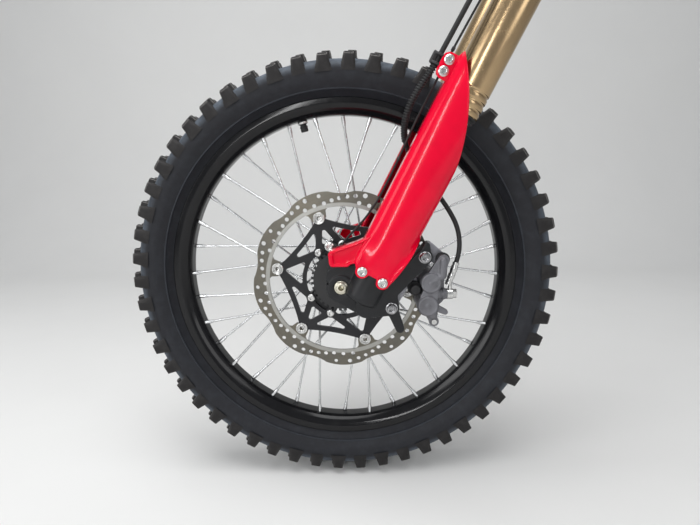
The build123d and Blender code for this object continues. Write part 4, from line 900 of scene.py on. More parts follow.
def settle(piece: bpy.types.Object, finish: Finish, node: str, stands_for: bool = True) -> bpy.types.Object:
    """Dresses a piece and makes it ride with a CAD node's body.

    Args:
        piece: The new piece.
        finish: Its finish.
        node: The CAD node that it replaces, or that carries it.
        stands_for: Whether it replaces the node.

    Returns:
        The piece.
    """
    piece.data.materials.clear()
    piece.data.materials.append(coat(finish))
    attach(piece, body_of(node))
    if stands_for:
        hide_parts(node)
    log.info("%s: %d faces, %s", piece.name, len(piece.data.polygons), finish.name)
    return piece


@dataclass
class Casting:
    """A rigid CAD node whose copy gets rounded edges.

    Attributes:
        node: The CAD node.
        finish: Its finish.
        radius: How far the rounding reaches from an edge, in millimetres.
        segments: Faces across the rounding.
        angle_deg: Edges sharper than this are rounded.
        flat_deg: Faces that meet flatter than this become one.
    """

    node: str
    finish: Finish
    radius: float
    segments: int = 2
    angle_deg: float = 32.0
    flat_deg: float = 1.0

    def build(self) -> None:
        """Thins the copy's flat faces and rounds its edges."""
        mesh, work = copy_node(self.node)
        bmesh.ops.dissolve_degenerate(work, edges=work.edges, dist=WELD)
        bmesh.ops.dissolve_limit(work, angle_limit=radians(self.flat_deg), verts=work.verts, edges=work.edges)
        smooth(work, self.angle_deg)
        piece = link_mesh(mesh, work, self.node + "_form")
        rounding = piece.modifiers.new("rounding", "BEVEL")
        rounding.limit_method = "ANGLE"
        rounding.angle_limit = radians(self.angle_deg)
        rounding.width = self.radius * MM
        rounding.segments = self.segments
        rounding.harden_normals = True
        settle(piece, self.finish, self.node)


@dataclass
class Tyre:
    """Knobbly tyre: a casing turned about the axle and blocks stamped round it.

    Attributes:
        casing: Half of the outer profile as (radius, y) corners, from the crown to the bead.
        lining: Half of the inner profile, from the bead to the crown.
        crown_arc_r: Radius of the crown's arc across the tyre.
        casing_r: Radius of the crown from the axle.
        rows: Rows of blocks round the tyre.
        blocks: Row parity, angle from the crown, length, width and phase of each block.
        height: The blocks' height.
        root: How far the blocks reach into the casing.
        squareness: Power that turns a block's circle into a rounded rectangle.
        shoulder_deg: Blocks further out than this have a buttress down the sidewall.
        buttress: How far a buttress reaches outward and down, and how much longer it gets.
    """

    casing: tuple = (
        (338.0, 0.0), (337.0, 13.0), (333.6, 27.0), (327.0, 38.2), (317.0, 41.2), (304.0, 39.4),
        (296.0, 35.2), (291.6, 32.2), (290.9, 33.0), (289.7, 32.4), (289.2, 30.2), (284.6, 24.6),
        (280.8, 20.4), (267.0, 20.1),
    )
    lining: tuple = ((268.0, -13.5), (300.0, -30.0), (326.0, -22.0), (330.0, 0.0))
    crown_arc_r: float = 68.0
    casing_r: float = 338.2
    rows: int = 54
    blocks: tuple = (
        (0, 8.5, 15.5, 14.0, 0.0), (0, 28.5, 18.0, 13.0, 0.12),
        (1, 8.5, 15.5, 14.0, 0.0), (1, 27.0, 18.0, 13.0, 0.12),
    )
    height: float = 11.6
    root: float = 3.0
    squareness: float = 0.42
    shoulder_deg: float = 20.0
    buttress: tuple = (9.0, 9.5, 0.32)

    def profile(self) -> Array:
        """Goes out over the crown and back inside, with soft corners.

        Returns:
            The closed profile's (radius, y) points.
        """
        outer, inner = np.array(self.casing), np.array(self.lining)
        outside = np.vstack([outer[::-1], outer[1:] * [1, -1]])
        inside = np.vstack([inner, inner[2::-1] * [1, -1]])
        return soften(np.vstack([outside, inside]), 7.0, 5, closed=True)

    def block(self, length: float, width: float) -> Array:
        """One block as rings of a rounded rectangle that rise, narrow and close.

        A ring's point at angle a is (l cos(a)^e, w sin(a)^e) with e the squareness and
        signs kept; each level scales it and sets its height over the root.

        Args:
            length: Size round the tyre.
            width: Size across it.

        Returns:
            Points (length, width, height) of shape (levels, steps, 3).
        """
        steps = 12
        a = (np.arange(steps) * 2 + 1) * pi / steps
        ring = np.stack([np.sign(np.cos(a)) * np.abs(np.cos(a)) ** self.squareness * length / 2,
                         np.sign(np.sin(a)) * np.abs(np.sin(a)) ** self.squareness * width / 2], axis=-1)
        scale = np.array([1.3, 1.02, 0.88, 0.8, 0.0])
        top = self.root + self.height
        rise = np.array([self.root - 1.6, self.root + 1.4, top - 0.8, top, top - 0.2])
        flat = ring[None] * scale[:, None, None]
        return np.concatenate([flat, np.broadcast_to(rise[:, None, None], flat.shape[:2] + (1,))], axis=-1)

    def skin_blocks(self, skin: Skin) -> None:
        """Stamps every kind of block on its rows, on both sides of the crown.

        With o the share of the way out over half the width and d the share of the way
        down from the top, a shoulder block's points move out by buttress o d and down
        by buttress o^2 d^2, which makes its outer side lean down the sidewall.

        Args:
            skin: Takes the blocks.
        """
        for parity, angle, length, width, phase in self.blocks:
            shape = self.block(length, width)
            if angle > self.shoulder_deg:
                out = np.clip(shape[..., 1] / (width / 2), 0, 1)
                down = np.clip(1 - shape[..., 2] / (self.root + self.height), 0, 1)
                shape[..., 1] += self.buttress[0] * out * down
                shape[..., 2] -= self.buttress[1] * out**2 * down**2
                shape[..., 0] *= 1 + self.buttress[2] * out * down
            row = np.arange(parity, self.rows, 2)
            for side in Side:
                a = radians(angle)
                reach = self.crown_arc_r - self.root + shape[..., 2]
                out = self.casing_r - self.crown_arc_r + reach * cos(a) - shape[..., 1] * sin(a)
                y = side.value * (reach * sin(a) + shape[..., 1] * cos(a))
                turn = ((row + phase) * 2 * pi / self.rows)[:, None, None]
                x = out * np.cos(turn) - shape[..., 0] * np.sin(turn)
                z = out * np.sin(turn) + shape[..., 0] * np.cos(turn)
                places = AXLE + np.stack(np.broadcast_arrays(x, y, z), axis=-1) * MM
                skin.grid(places, wrap_v=True, flip=side is Side.RIGHT)

    def build(self) -> None:
        """Builds the tyre in place of its node."""
        casing, blocks = Skin(), Skin()
        casing.grid(spin_wheel(self.profile(), 216), wrap_u=True, wrap_v=True)
        self.skin_blocks(blocks)
        settle(casing.build("tyre_form", 40.0), TYRE_RUBBER, "tyre")
        settle(blocks.build("tyre_blocks", 32.0), TREAD_RUBBER, "tyre", stands_for=False)


@dataclass
class Rim:
    """Drop-centre rim turned about the axle from its closed profile.

    Attributes:
        outside: Half of the side that faces the hub, as (radius, y) from the flange's tip.
        inside: Half of the side that faces the tyre, from the well to the flange.
    """

    outside: tuple = (
        (279.6, 20.6), (280.2, 22.2), (279.0, 23.3), (271.5, 23.4), (268.0, 22.6), (264.5, 21.0),
        (260.0, 17.6), (255.4, 13.0), (253.6, 9.0), (253.5, 4.0),
    )
    inside: tuple = ((258.2, 9.0), (266.5, 13.5), (266.8, 20.2))

    def build(self) -> None:
        """Builds the rim in place of its node."""
        face, bed = np.array(self.outside), np.array(self.inside)
        profile = np.vstack([face, face[::-1] * [1, -1], bed[::-1] * [1, -1], bed])
        grid = spin_wheel(soften(profile, 1.2, 4, closed=True), 288)
        settle(Skin().grid(grid, wrap_u=True, wrap_v=True).build("rim_form", 50.0), RIM_COAT, "rim")


@dataclass
class Spokes:
    """Thirty-six spokes with their nipples, as tubes along bent wires.

    Attributes:
        count: Spokes in the wheel.
        start_deg: Angle of the first spoke's rim end.
        cross_deg: Angle at the hub from the rim end to the head.
        rim_r: Radius of the rim end.
        rim_y: How far the rim end is from the middle.
        hub_r: Radius of the heads' circle.
        flange_y: Middle of the hub's spoke flange.
        stand: From the middle of the flange to the middle of a spoke.
        lift: How much further the outer spokes stand off.
        wire_r: A spoke's radius.
        nipple_r: A nipple's radius.
        nipple: Distance from the rim end and share of nipple_r of each ring of a nipple.
        bend: How far from the elbow a spoke starts to bend.
        head: Radii of a spoke's head, from its neck on.
        head_mm: Length of the head.
    """

    count: int = 36
    start_deg: float = -0.7
    cross_deg: float = 60.0
    rim_r: float = 252.9
    rim_y: float = 7.0
    hub_r: float = 40.0
    flange_y: float = 34.0
    stand: float = 5.0
    lift: float = 1.6
    wire_r: float = 1.9
    nipple_r: float = 3.3
    nipple: tuple = ((0.0, 1.0), (9.0, 1.0), (10.4, 0.93), (12.5, 0.80), (15.0, 0.74), (15.2, 0.60))
    bend: float = 4.0
    head: tuple = (3.3, 3.2, 1.6)
    head_mm: float = 1.9

    def wires(self) -> tuple[Array, Array, Array]:
        """Places all spokes by the three-cross lacing.

        Returns:
            Their rim ends, elbows and heads.
        """
        i = np.arange(self.count)
        side = np.where(i % 2 == 0, -1.0, 1.0)
        hand = np.where(np.isin(i % 4, (0, 3)), 1.0, -1.0)
        angle = np.radians(self.start_deg) + i * 2 * pi / self.count
        at_hub = angle + hand * radians(self.cross_deg)
        elbow_lift = np.where(hand > 0, -self.stand, self.stand + self.lift)
        rim = from_wheel(self.rim_r, angle, side * self.rim_y)
        elbow = from_wheel(self.hub_r, at_hub, side * (self.flange_y + elbow_lift))
        head = from_wheel(self.hub_r, at_hub, side * (self.flange_y + hand * self.stand))
        return rim, elbow, head

    def build(self) -> None:
        """Carries a circle along each wire, its radius set by the nipple, the wire and the head."""
        rim, elbow, head = self.wires()
        run = np.linalg.norm(elbow - rim, axis=-1, keepdims=True)
        leg = np.linalg.norm(head - elbow, axis=-1, keepdims=True)
        reach, share = np.array(self.nipple).T
        steps = [rim + (elbow - rim) / run * d for d in reach * MM]
        bend = self.bend * MM
        into, out = elbow + (rim - elbow) / run * bend, elbow + (head - elbow) / leg * bend * 0.6
        arc = [(1 - t) ** 2 * into + 2 * t * (1 - t) * elbow + t**2 * out for t in np.linspace(0, 1, 5)]
        neck = head - (head - elbow) / leg * self.head_mm * MM
        ends = [neck, neck + (head - neck) * 0.05, neck + (head - neck) * 0.6, head]
        path = np.stack(steps + [rim + (elbow - rim) * 0.4] + arc + ends, axis=1)
        wire = np.full(path.shape[1] - len(share) - len(self.head), self.wire_r)
        radius = np.concatenate([share * self.nipple_r, wire, self.head])
        grid = tube(path, radius * MM, 10, np.array([0.31, 0.17, 0.93]))
        settle(Skin().grid(grid, wrap_v=True).build("spokes_form", 40.0), SPOKE_STEEL, "spokes")


def leg_places(places: tuple, y: float) -> Array:
    """Places (n, s) pairs at one y in the part's frame."""
    n, s = np.array(places, float).T
    return from_leg(n, np.array(y), s)


# Rings of bolts and buttons: radius, height over the seat and roundness
FLANGED_HEAD = (
    (0.0, -9.0, 1), (2.9, -9.0, 1), (2.9, 0.1, 1), (6.6, 0.1, 1), (7.0, 0.5, 1), (6.9, 1.2, 1), (5.9, 1.9, 1),
    (5.1, 2.4, 1), (5.0, 4.2, 1), (4.5, 4.7, 1), (3.3, 4.75, 1), (3.0, 4.5, 0), (2.9, 2.2, 0), (0.0, 2.0, 1),
)
CALIPER_HEAD = (
    (0.0, -30.0, 1), (4.9, -30.0, 1), (4.9, 0.1, 1), (8.7, 0.1, 1), (9.0, 0.6, 1), (8.8, 1.8, 1),
    (7.4, 2.4, 1), (7.0, 3.0, 1), (7.0, 8.0, 1), (6.4, 8.8, 1), (4.5, 9.0, 1), (4.1, 8.6, 0),
    (4.0, 1.6, 0), (0.0, 1.2, 1),
)
DOMED_HEAD = (
    (0.0, 0.05, 1), (6.2, 0.05, 1), (6.4, 0.5, 1), (6.1, 1.8, 1), (5.2, 3.0, 1), (4.0, 3.5, 1), (2.9, 3.6, 1),
    (2.6, 3.4, 0), (2.5, 1.4, 0), (0.0, 1.2, 1),
)
PINCH_HEAD = (
    (0.0, -28.0, 1), (3.4, -28.0, 1), (3.4, 0.05, 1), (5.6, 0.05, 1), (6.0, 0.5, 1), (6.0, 6.3, 1),
    (5.4, 6.9, 1), (3.8, 7.0, 1), (3.4, 6.7, 0), (3.3, 3.0, 0), (0.0, 2.8, 1),
)
BUTTON_RINGS = (
    (0.0, -4.3, 1), (8.6, -4.3, 1), (8.8, -3.8, 1), (8.8, -2.6, 1), (7.9, -2.4, 1), (7.9, 2.2, 1),
    (8.9, 2.4, 1), (9.1, 3.0, 1), (9.0, 3.9, 1), (8.4, 4.3, 1), (7.5, 4.2, 1), (7.0, 3.3, 1),
    (5.9, 3.1, 1), (5.5, 3.9, 1), (5.1, 4.2, 1), (3.6, 4.1, 1), (3.2, 3.6, 1), (3.1, -2.0, 1),
    (0.0, -2.0, 1),
)


@dataclass
class Fastener:
    """Like bolts that lie across the bike, each turned from rings.

    Attributes:
        name: The piece's name.
        node: The CAD node that it replaces.
        finish: Its finish.
        places: Centres of the heads' seats in metres, one per row.
        rings: Radius, height over the seat and roundness (1 round, 0 a hexagon) of each ring.
        sign: -1 where a head faces the rider's left, 1 where it faces the right.
    """

    name: str
    node: str
    finish: Finish
    places: Array
    rings: tuple
    sign: Array | float = -1.0

    def grid(self) -> Array:
        """Sets the rings round every place.

        A ring's radius at angle a is r times w + (1 - w) flat / cos(b), with b the
        angle from the nearest side of a hexagon, flat 0.92 and w the roundness.

        Returns:
            Points of shape (places, rings, steps, 3).
        """
        steps, flat = 36, 0.92
        a = np.arange(steps) * 2 * pi / steps
        side = (a + pi / 6) % (pi / 3) - pi / 6
        radius, height, roundness = np.array(self.rings).T
        r = radius[:, None] * (roundness[:, None] + (1 - roundness[:, None]) * flat / np.cos(side))
        out = np.broadcast_to(height[:, None], r.shape)
        ring = np.stack([r * np.cos(a), out, r * np.sin(a)], axis=-1)
        sign = np.broadcast_to(np.asarray(self.sign, float), len(self.places))
        same = np.ones_like(sign)
        turned = ring[None] * np.stack([same, sign, same], axis=-1)[:, None, None, :]
        return np.asarray(self.places)[:, None, None, :] + turned * MM

    def build(self) -> None:
        """Builds the bolts in place of their node."""
        piece = Skin().grid(self.grid(), wrap_v=True).build(self.name, 35.0)
        settle(piece, self.finish, self.node)


@dataclass
class Fasteners:
    """Every bolt, button and pin head that shows.

    Places are (n, s) in the leg frame, and _seat_y how far from the middle a head sits.

    Attributes:
        guard_seat_y, low_bolts: The guards' lower bolts.
        ear_seat_y, top_bolts: The left guard's upper bolts.
        sensor_seat_y, sensor_bolt: The speed sensor's bolt.
        arm_seat_y, caliper_bolts: The bolts that hold the caliper's bracket.
        disc_y, button_r, button_start_deg: The floating disc's six buttons.
        carrier_seat_y, disc_bolt_r: The carrier's three pairs of bolts.
        disc_bolt_start_deg, disc_bolt_spread_deg: Middle of the first pair, and half its spread.
        pinch_seat_y, pinch_n, pinch_s: The clamps' pinch bolts.
    """

    guard_seat_y: float = 133.1
    ear_seat_y: float = 122.0
    low_bolts: tuple = LOW_BOLTS
    top_bolts: tuple = TOP_BOLTS
    sensor_bolt: tuple = ((-42.0, 44.0),)
    sensor_seat_y: float = 90.1
    caliper_bolts: tuple = ((79.2, 7.3), (86.6, 96.0))
    arm_seat_y: float = 115.0
    disc_y: float = DISC_Y
    carrier_seat_y: float = 58.0
    button_r: float = 103.0
    button_start_deg: float = LUG_START_DEG
    disc_bolt_r: float = 57.0
    disc_bolt_start_deg: float = 109.5
    disc_bolt_spread_deg: float = 20.0
    pinch_n: float = -4.0
    pinch_s: tuple = (580.0, 596.0, 788.0)
    pinch_seat_y: float = 114.0

    def build(self) -> None:
        """Builds the heads in front of their CAD bolts, which they stand for."""
        left, right = (side.value for side in Side)
        guard = leg_places(self.low_bolts, left * self.guard_seat_y)
        ear = leg_places(self.top_bolts, left * self.ear_seat_y)
        sensor = leg_places(self.sensor_bolt, left * self.sensor_seat_y)
        other = leg_places(self.low_bolts, right * self.guard_seat_y)
        seats = np.vstack([guard, ear, sensor, other])
        sign = np.repeat([left, right], [len(seats) - len(other), len(other)])
        Fastener("flanged_heads", "flanged_bolts", ZINC, seats, FLANGED_HEAD, sign).build()
        seats = leg_places(self.caliper_bolts, left * self.arm_seat_y)
        Fastener("caliper_bolt_heads", "caliper_bolts", BOLT_STEEL, seats, CALIPER_HEAD).build()
        turn = np.radians(self.button_start_deg + 60.0 * np.arange(6))
        buttons = from_wheel(self.button_r, turn, self.disc_y)
        Fastener("float_buttons", "disc_buttons", ZINC, buttons, BUTTON_RINGS).build()
        middle = self.disc_bolt_start_deg + 120.0 * np.arange(3)[:, None]
        turn = np.radians(middle + self.disc_bolt_spread_deg * np.array([-1.0, 1.0])).ravel()
        bolts = from_wheel(self.disc_bolt_r, turn, left * self.carrier_seat_y)
        Fastener("disc_bolt_heads", "disc_bolts", ZINC, bolts, DOMED_HEAD).build()
        pairs = [(self.pinch_n, s) for s in self.pinch_s]
        seats = np.vstack([leg_places(pairs, sign * self.pinch_seat_y) for sign in (left, right)])
        sign = np.repeat([left, right], len(pairs))
        Fastener("pinch_heads", "pinch_bolts", ZINC, seats, PINCH_HEAD, sign).build()


@dataclass
class DiscWebs:
    """Flared webs that carry the disc's ring into its lugs with hollow sides.

    Attributes:
        mid_y: Middle of the disc.
        thick: A web's thickness.
        low_r: Radius where a web leaves its lug.
        high_r: Radius where it meets the ring.
        lug_w: Half width of a lug.
        flare: How much wider it is at the ring.
        hollow: Power that makes its sides hollow.
        start_deg: Angle of the first lug.
    """

    mid_y: float = DISC_Y
    thick: float = 3.44
    low_r: float = 104.5
    high_r: float = 118.5
    lug_w: float = 11.4
    flare: float = 15.0
    hollow: float = 2.6
    start_deg: float = LUG_START_DEG

    def build(self) -> None:
        """Builds six webs: half width lug_w + flare t^hollow at share t of the way out."""
        t = np.linspace(0, 1, 14)[:, None]
        across = np.linspace(-1, 1, 13)[None, :]
        radius = self.low_r + (self.high_r - self.low_r) * t + 0 * across
        angle = across * (self.lug_w + self.flare * t**self.hollow) / radius
        half = self.thick / 2
        skin = Skin()
        for turn in np.radians(self.start_deg + 60.0 * np.arange(6)):
            near = from_wheel(radius, turn + angle, self.mid_y - half)
            far = from_wheel(radius, turn + angle, self.mid_y + half)
            skin.grid(near).grid(far)
            for part in ((0,), (-1,), (slice(None), 0), (slice(None), -1)):
                skin.grid(np.stack([near[part], far[part]]))
        settle(skin.build("disc_webs", 40.0), DISC_STEEL, "brake_disc", stands_for=False)


@dataclass
class Valve:
    """Valve stem through the rim with its locknut and cap, pointing at the axle.

    Attributes:
        turn_deg: Its angle round the wheel.
        rings: Radius and distance from the axle of each ring of the stem and cap.
        nut: The same for the locknut.
    """

    turn_deg: float = 104.0
    rings: tuple = (
        (0.0, 253.2), (7.4, 253.2), (7.5, 252.6), (7.5, 249.6), (6.9, 248.8), (5.2, 248.2), (5.1, 246.0),
        (5.9, 245.6), (6.4, 244.8), (6.4, 243.2), (5.8, 242.4), (5.6, 241.8), (6.0, 241.2), (6.0, 238.4),
        (5.4, 237.0), (0.0, 236.6),
    )
    nut: tuple = ((5.0, 252.4), (7.7, 252.4), (8.2, 252.0), (8.2, 249.6), (7.7, 249.0), (5.0, 248.6))

    def build(self) -> None:
        """Turns the stem and its nut about their radius of the wheel."""
        a = radians(self.turn_deg)
        outward = (cos(a), 0.0, sin(a))
        stem, nut = (drum((0.0, 0.0, 0.0), outward, rings, 32) for rings in (self.rings, self.nut))
        settle(Skin().grid(stem, wrap_v=True).build("valve_form", 40.0), SOFT_RUBBER, "valve")
        collar = Skin().grid(nut, wrap_u=True, wrap_v=True).build("valve_nut", 40.0)
        settle(collar, ZINC, "valve", stands_for=False)


@dataclass
class Looms:
    """What is wound round or clamped on the hose and the wire.

    Attributes:
        wrap: Shares of the hose's length between which it wears a spiral guard.
        spiral: Radius from the hose's middle, pitch and radius of the spiral's cord.
        crimp_mm: Length of the crimped sleeve at the caliper.
        crimp: Share of that length and radius of each of its rings.
        bands: Shares of the wire's length where its bands start.
        band_share: Length of a band as a share of the wire's.
        band: Share of a band's length and radius of each of its rings.
    """

    wrap: tuple = (0.40, 0.60)
    spiral: tuple = (4.0, 3.6, 1.15)
    crimp_mm: float = 25.0
    crimp: tuple = (
        (0.0, 4.9), (0.05, 5.2), (0.3, 5.2), (0.36, 4.6), (0.44, 4.6), (0.5, 5.2), (0.74, 5.2), (0.8, 4.6),
        (0.9, 4.6), (0.94, 5.0), (1.0, 4.7),
    )
    bands: tuple = (0.30, 0.62)
    band_share: float = 0.012
    band: tuple = ((0.0, 2.0), (0.1, 2.5), (0.9, 2.5), (1.0, 2.0))

    def sleeve(self, path: Array, start: float, end: float, rings: tuple) -> Array:
        """Fits a closed sleeve round part of a path.

        Args:
            path: Points along the core.
            start: Share of the path's length where it starts.
            end: Share where it ends.
            rings: Share of the sleeve's length and radius of each ring.

        Returns:
            A grid of points.
        """
        share, radius = np.array(rings).T
        at = (start + (end - start) * share) * lengths_along(path)[-1]
        return tube(points_at(path, at), radius * MM, 24)

    def build(self, hose: Array, wire: Array) -> None:
        """Builds the spiral guard, the crimped sleeve and the wire's bands.

        Args:
            hose: Points along the hose.
            wire: Points along the wire.
        """
        reach, pitch, radius = self.spiral
        skin = Skin().grid(tube(coil(hose, *self.wrap, reach, pitch), radius * MM, 6), wrap_v=True)
        settle(skin.build("hose_spiral", 60.0), SOFT_RUBBER, "brake_hose", stands_for=False)
        crimp = self.sleeve(hose, 0.0, self.crimp_mm * MM / lengths_along(hose)[-1], self.crimp)
        sleeve = Skin().grid(crimp, wrap_v=True).build("hose_crimp", 40.0)
        settle(sleeve, ZINC, "hose_fittings", stands_for=False)
        ties = Skin()
        for share in self.bands:
            ties.grid(self.sleeve(wire, share, share + self.band_share, self.band), wrap_v=True)
        settle(ties.build("wire_bands", 40.0), MATT_PLASTIC, "sensor_wire", stands_for=False)


@dataclass
class ForkLegs:
    """Outer and inner tubes and seals, turned about the legs.

    Attributes:
        leg_n: The legs' place rearward of the axle.
        leg_y: Their distance from the middle.
        outer_r, top_r: Radii of an outer tube below and above its step.
        bore: Radius of its bore.
        foot_s, step_s, top_s: Where its foot, its step and its top are up the leg.
        grooves: Middles of its grooves.
        inner_r, inner_bore: Radii of an inner tube.
        inner_s: Where its foot, its bore's end and its top are up the leg.
        seal: Radius and place up the leg of a dust seal's corners.
    """

    leg_n: float = LEG_N
    leg_y: float = LEG_Y
    outer_r: float = 29.0
    top_r: float = 27.5
    bore: float = 21.7
    foot_s: float = 292.0
    step_s: float = 640.0
    top_s: float = 812.0
    grooves: tuple = (302.0, 313.0, 324.0)
    inner_r: float = 21.5
    inner_bore: float = 19.5
    inner_s: tuple = (6.2, 30.0, 520.0)
    seal: tuple = (
        (21.6, 283.9), (22.6, 284.0), (24.0, 285.0), (25.6, 285.2), (26.0, 286.2), (25.2, 287.4),
        (25.2, 288.0), (26.0, 288.8), (27.6, 289.6), (28.0, 291.9), (21.7, 291.9),
    )

    def outer(self) -> Array:
        """Draws an outer tube with a rolled foot, three grooves and a stepped top.

        Returns:
            Its closed profile of (radius, s) points.
        """
        corners = [(self.bore, self.foot_s), (self.outer_r - 1.5, self.foot_s),
                   (self.outer_r, self.foot_s + 1.5)]
        for s in self.grooves:
            corners += [(self.outer_r, s - 2.4), (self.outer_r - 1.2, s - 1.4), (self.outer_r - 1.2, s + 1.4),
                        (self.outer_r, s + 2.4)]
        corners += [(self.outer_r, self.step_s), (self.top_r, self.step_s + 4.0), (self.top_r, self.top_s),
                    (self.bore, self.top_s)]
        return soften(np.array(corners), 0.7, 3, closed=True)

    def inner(self) -> Array:
        """Draws an inner tube with a closed foot, from pole to pole.

        Returns:
            Its profile of (radius, s) points.
        """
        foot, floor, top = self.inner_s
        corners = [(0.0, foot), (self.inner_r, foot), (self.inner_r, top), (self.inner_bore, top),
                   (self.inner_bore, floor), (0.0, floor)]
        return soften(np.array(corners), 0.3, 2)

    def build(self) -> None:
        """Builds both legs' tubes and the seals."""
        seals = Skin()
        lip = soften(np.array(self.seal), 0.5, 3, closed=True)
        for side in Side:
            y = side.value * self.leg_y
            outer = Skin().grid(spin_leg(self.outer(), self.leg_n, y, 96), wrap_u=True, wrap_v=True)
            settle(outer.build(f"outer_tube_{side.label}_form", 40.0), GOLD, f"outer_tube_{side.label}")
            inner = Skin().grid(spin_leg(self.inner(), self.leg_n, y, 80), wrap_u=True)
            settle(inner.build(f"inner_tube_{side.label}_form", 40.0), CHROME, f"inner_tube_{side.label}")
            seals.grid(spin_leg(lip, self.leg_n, y, 80), wrap_u=True, wrap_v=True)
        settle(seals.build("dust_seals_form", 50.0), SOFT_RUBBER, "dust_seals")


@dataclass
class HeldCord:
    """A hose or wire that keeps its shape: a tube round a NURBS curve.

    Attributes:
        node: The CAD node that it replaces.
        finish: Its finish.
        radius: Its radius in millimetres.
        route: The points of its route in the leg frame (n, y, s), in millimetres.
    """

    node: str
    finish: Finish
    radius: float
    route: tuple

    def centre_line(self) -> Array:
        """Draws the NURBS curve that the route controls.

        Returns:
            Points along it.
        """
        curve = bpy.data.curves.new(self.node + "_line", "CURVE")
        curve.dimensions = "3D"
        spline = curve.splines.new("NURBS")
        points = from_leg(*np.array(self.route, float).T)
        spline.points.add(len(points) - 1)
        spline.points.foreach_set("co", np.column_stack([points, np.ones(len(points))]).ravel())
        spline.order_u = 3
        spline.use_endpoint_u = True
        spline.resolution_u = 10
        holder = bpy.data.objects.new(self.node + "_line", curve)
        bpy.context.scene.collection.objects.link(holder)
        line = bpy.data.meshes.new_from_object(holder)
        co = np.empty(3 * len(line.vertices))
        line.vertices.foreach_get("co", co)
        bpy.data.objects.remove(holder)
        bpy.data.curves.remove(curve)
        bpy.data.meshes.remove(line)
        return co.reshape(-1, 3)

    def build(self) -> Array:
        """Builds the tube in place of its node.

        Returns:
            The centre line's points.
        """
        path = self.centre_line()
        skin = Skin().grid(tube(path, self.radius * MM, 16), wrap_v=True)
        settle(skin.build(self.node + "_form", 60.0), self.finish, self.node)
        return path


def coil(path: Array, start: float, end: float, radius: float, pitch: float, sides: int = 36) -> Array:
    """Winds a helix round part of a path.

    The point at length t stands at the radius from the path, turned by 2 pi t over the pitch.

    Args:
        path: Points along the core.
        start: Share of the path's length where the helix starts.
        end: Share where it ends.
        radius: Its radius in millimetres.
        pitch: Its pitch in millimetres.
        sides: Steps to a turn.

    Returns:
        The helix's points.
    """
    total = lengths_along(path)[-1]
    turns = (end - start) * total / (pitch * MM)
    at = np.linspace(start, end, int(turns * sides)) * total
    centre = points_at(path, at)
    first, second = square_to(centre, CORD_SIDE)
    turn = (2 * pi * at / (pitch * MM))[:, None]
    return centre + (first * np.cos(turn) + second * np.sin(turn)) * radius * MM


def arc_through(first: tuple, middle: tuple, last: tuple, steps: int = 24) -> Array:
    """Draws the circle arc through three points.

    The circle's middle solves the two equations that put it as far from each point
    as from the next.

    Args:
        first: Where the arc starts.
        middle: A point on it.
        last: Where it ends.
        steps: Points on the arc.

    Returns:
        The arc's points, one per row.
    """
    (ax, ay), (bx, by), (cx, cy) = first, middle, last
    left = np.array([[bx - ax, by - ay], [cx - bx, cy - by]]) * 2
    right = np.array([bx**2 - ax**2 + by**2 - ay**2, cx**2 - bx**2 + cy**2 - by**2])
    centre = np.linalg.solve(left, right)
    turns = [np.arctan2(*(np.array(p) - centre)[::-1]) for p in (first, middle, last)]
    angle = np.interp(np.linspace(0, 2, steps), [0, 1, 2], np.unwrap(turns))
    radius = np.hypot(*(np.array(first) - centre))
    return centre + radius * np.stack([np.cos(angle), np.sin(angle)], axis=-1)


def inward(outline: Array) -> Array:
    """Turns a closed outline's directions a quarter to the left.

    Args:
        outline: Points that run counterclockwise, one per row.

    Returns:
        Unit normals into the outline.
    """
    along = np.roll(outline, -1, axis=0) - np.roll(outline, 1, axis=0)
    along /= np.linalg.norm(along, axis=1, keepdims=True)
    return np.stack([-along[:, 1], along[:, 0]], axis=-1)


def rings_of(outline: Array, levels: tuple) -> Array:
    """Moves rings of a leg-frame outline inward and each to its own y.

    Ring k is the outline plus its inward normal times the level's first number. Where
    that is negative, it is the share of the way to the outline's middle. The second
    number is y.

    Args:
        outline: Closed outline of (n, s) points, counterclockwise as (n, s).
        levels: Inset and y of each ring.

    Returns:
        A grid with a ring in each row.
    """
    normal = inward(outline)
    middle = outline.mean(axis=0)
    inset, y = np.array(levels, float).T[..., None]
    inset = inset[..., None]
    flat = outline + np.where(inset < 0, outline - middle, normal) * inset
    return from_leg(flat[..., 0], np.broadcast_to(y, flat.shape[:2]), flat[..., 1])


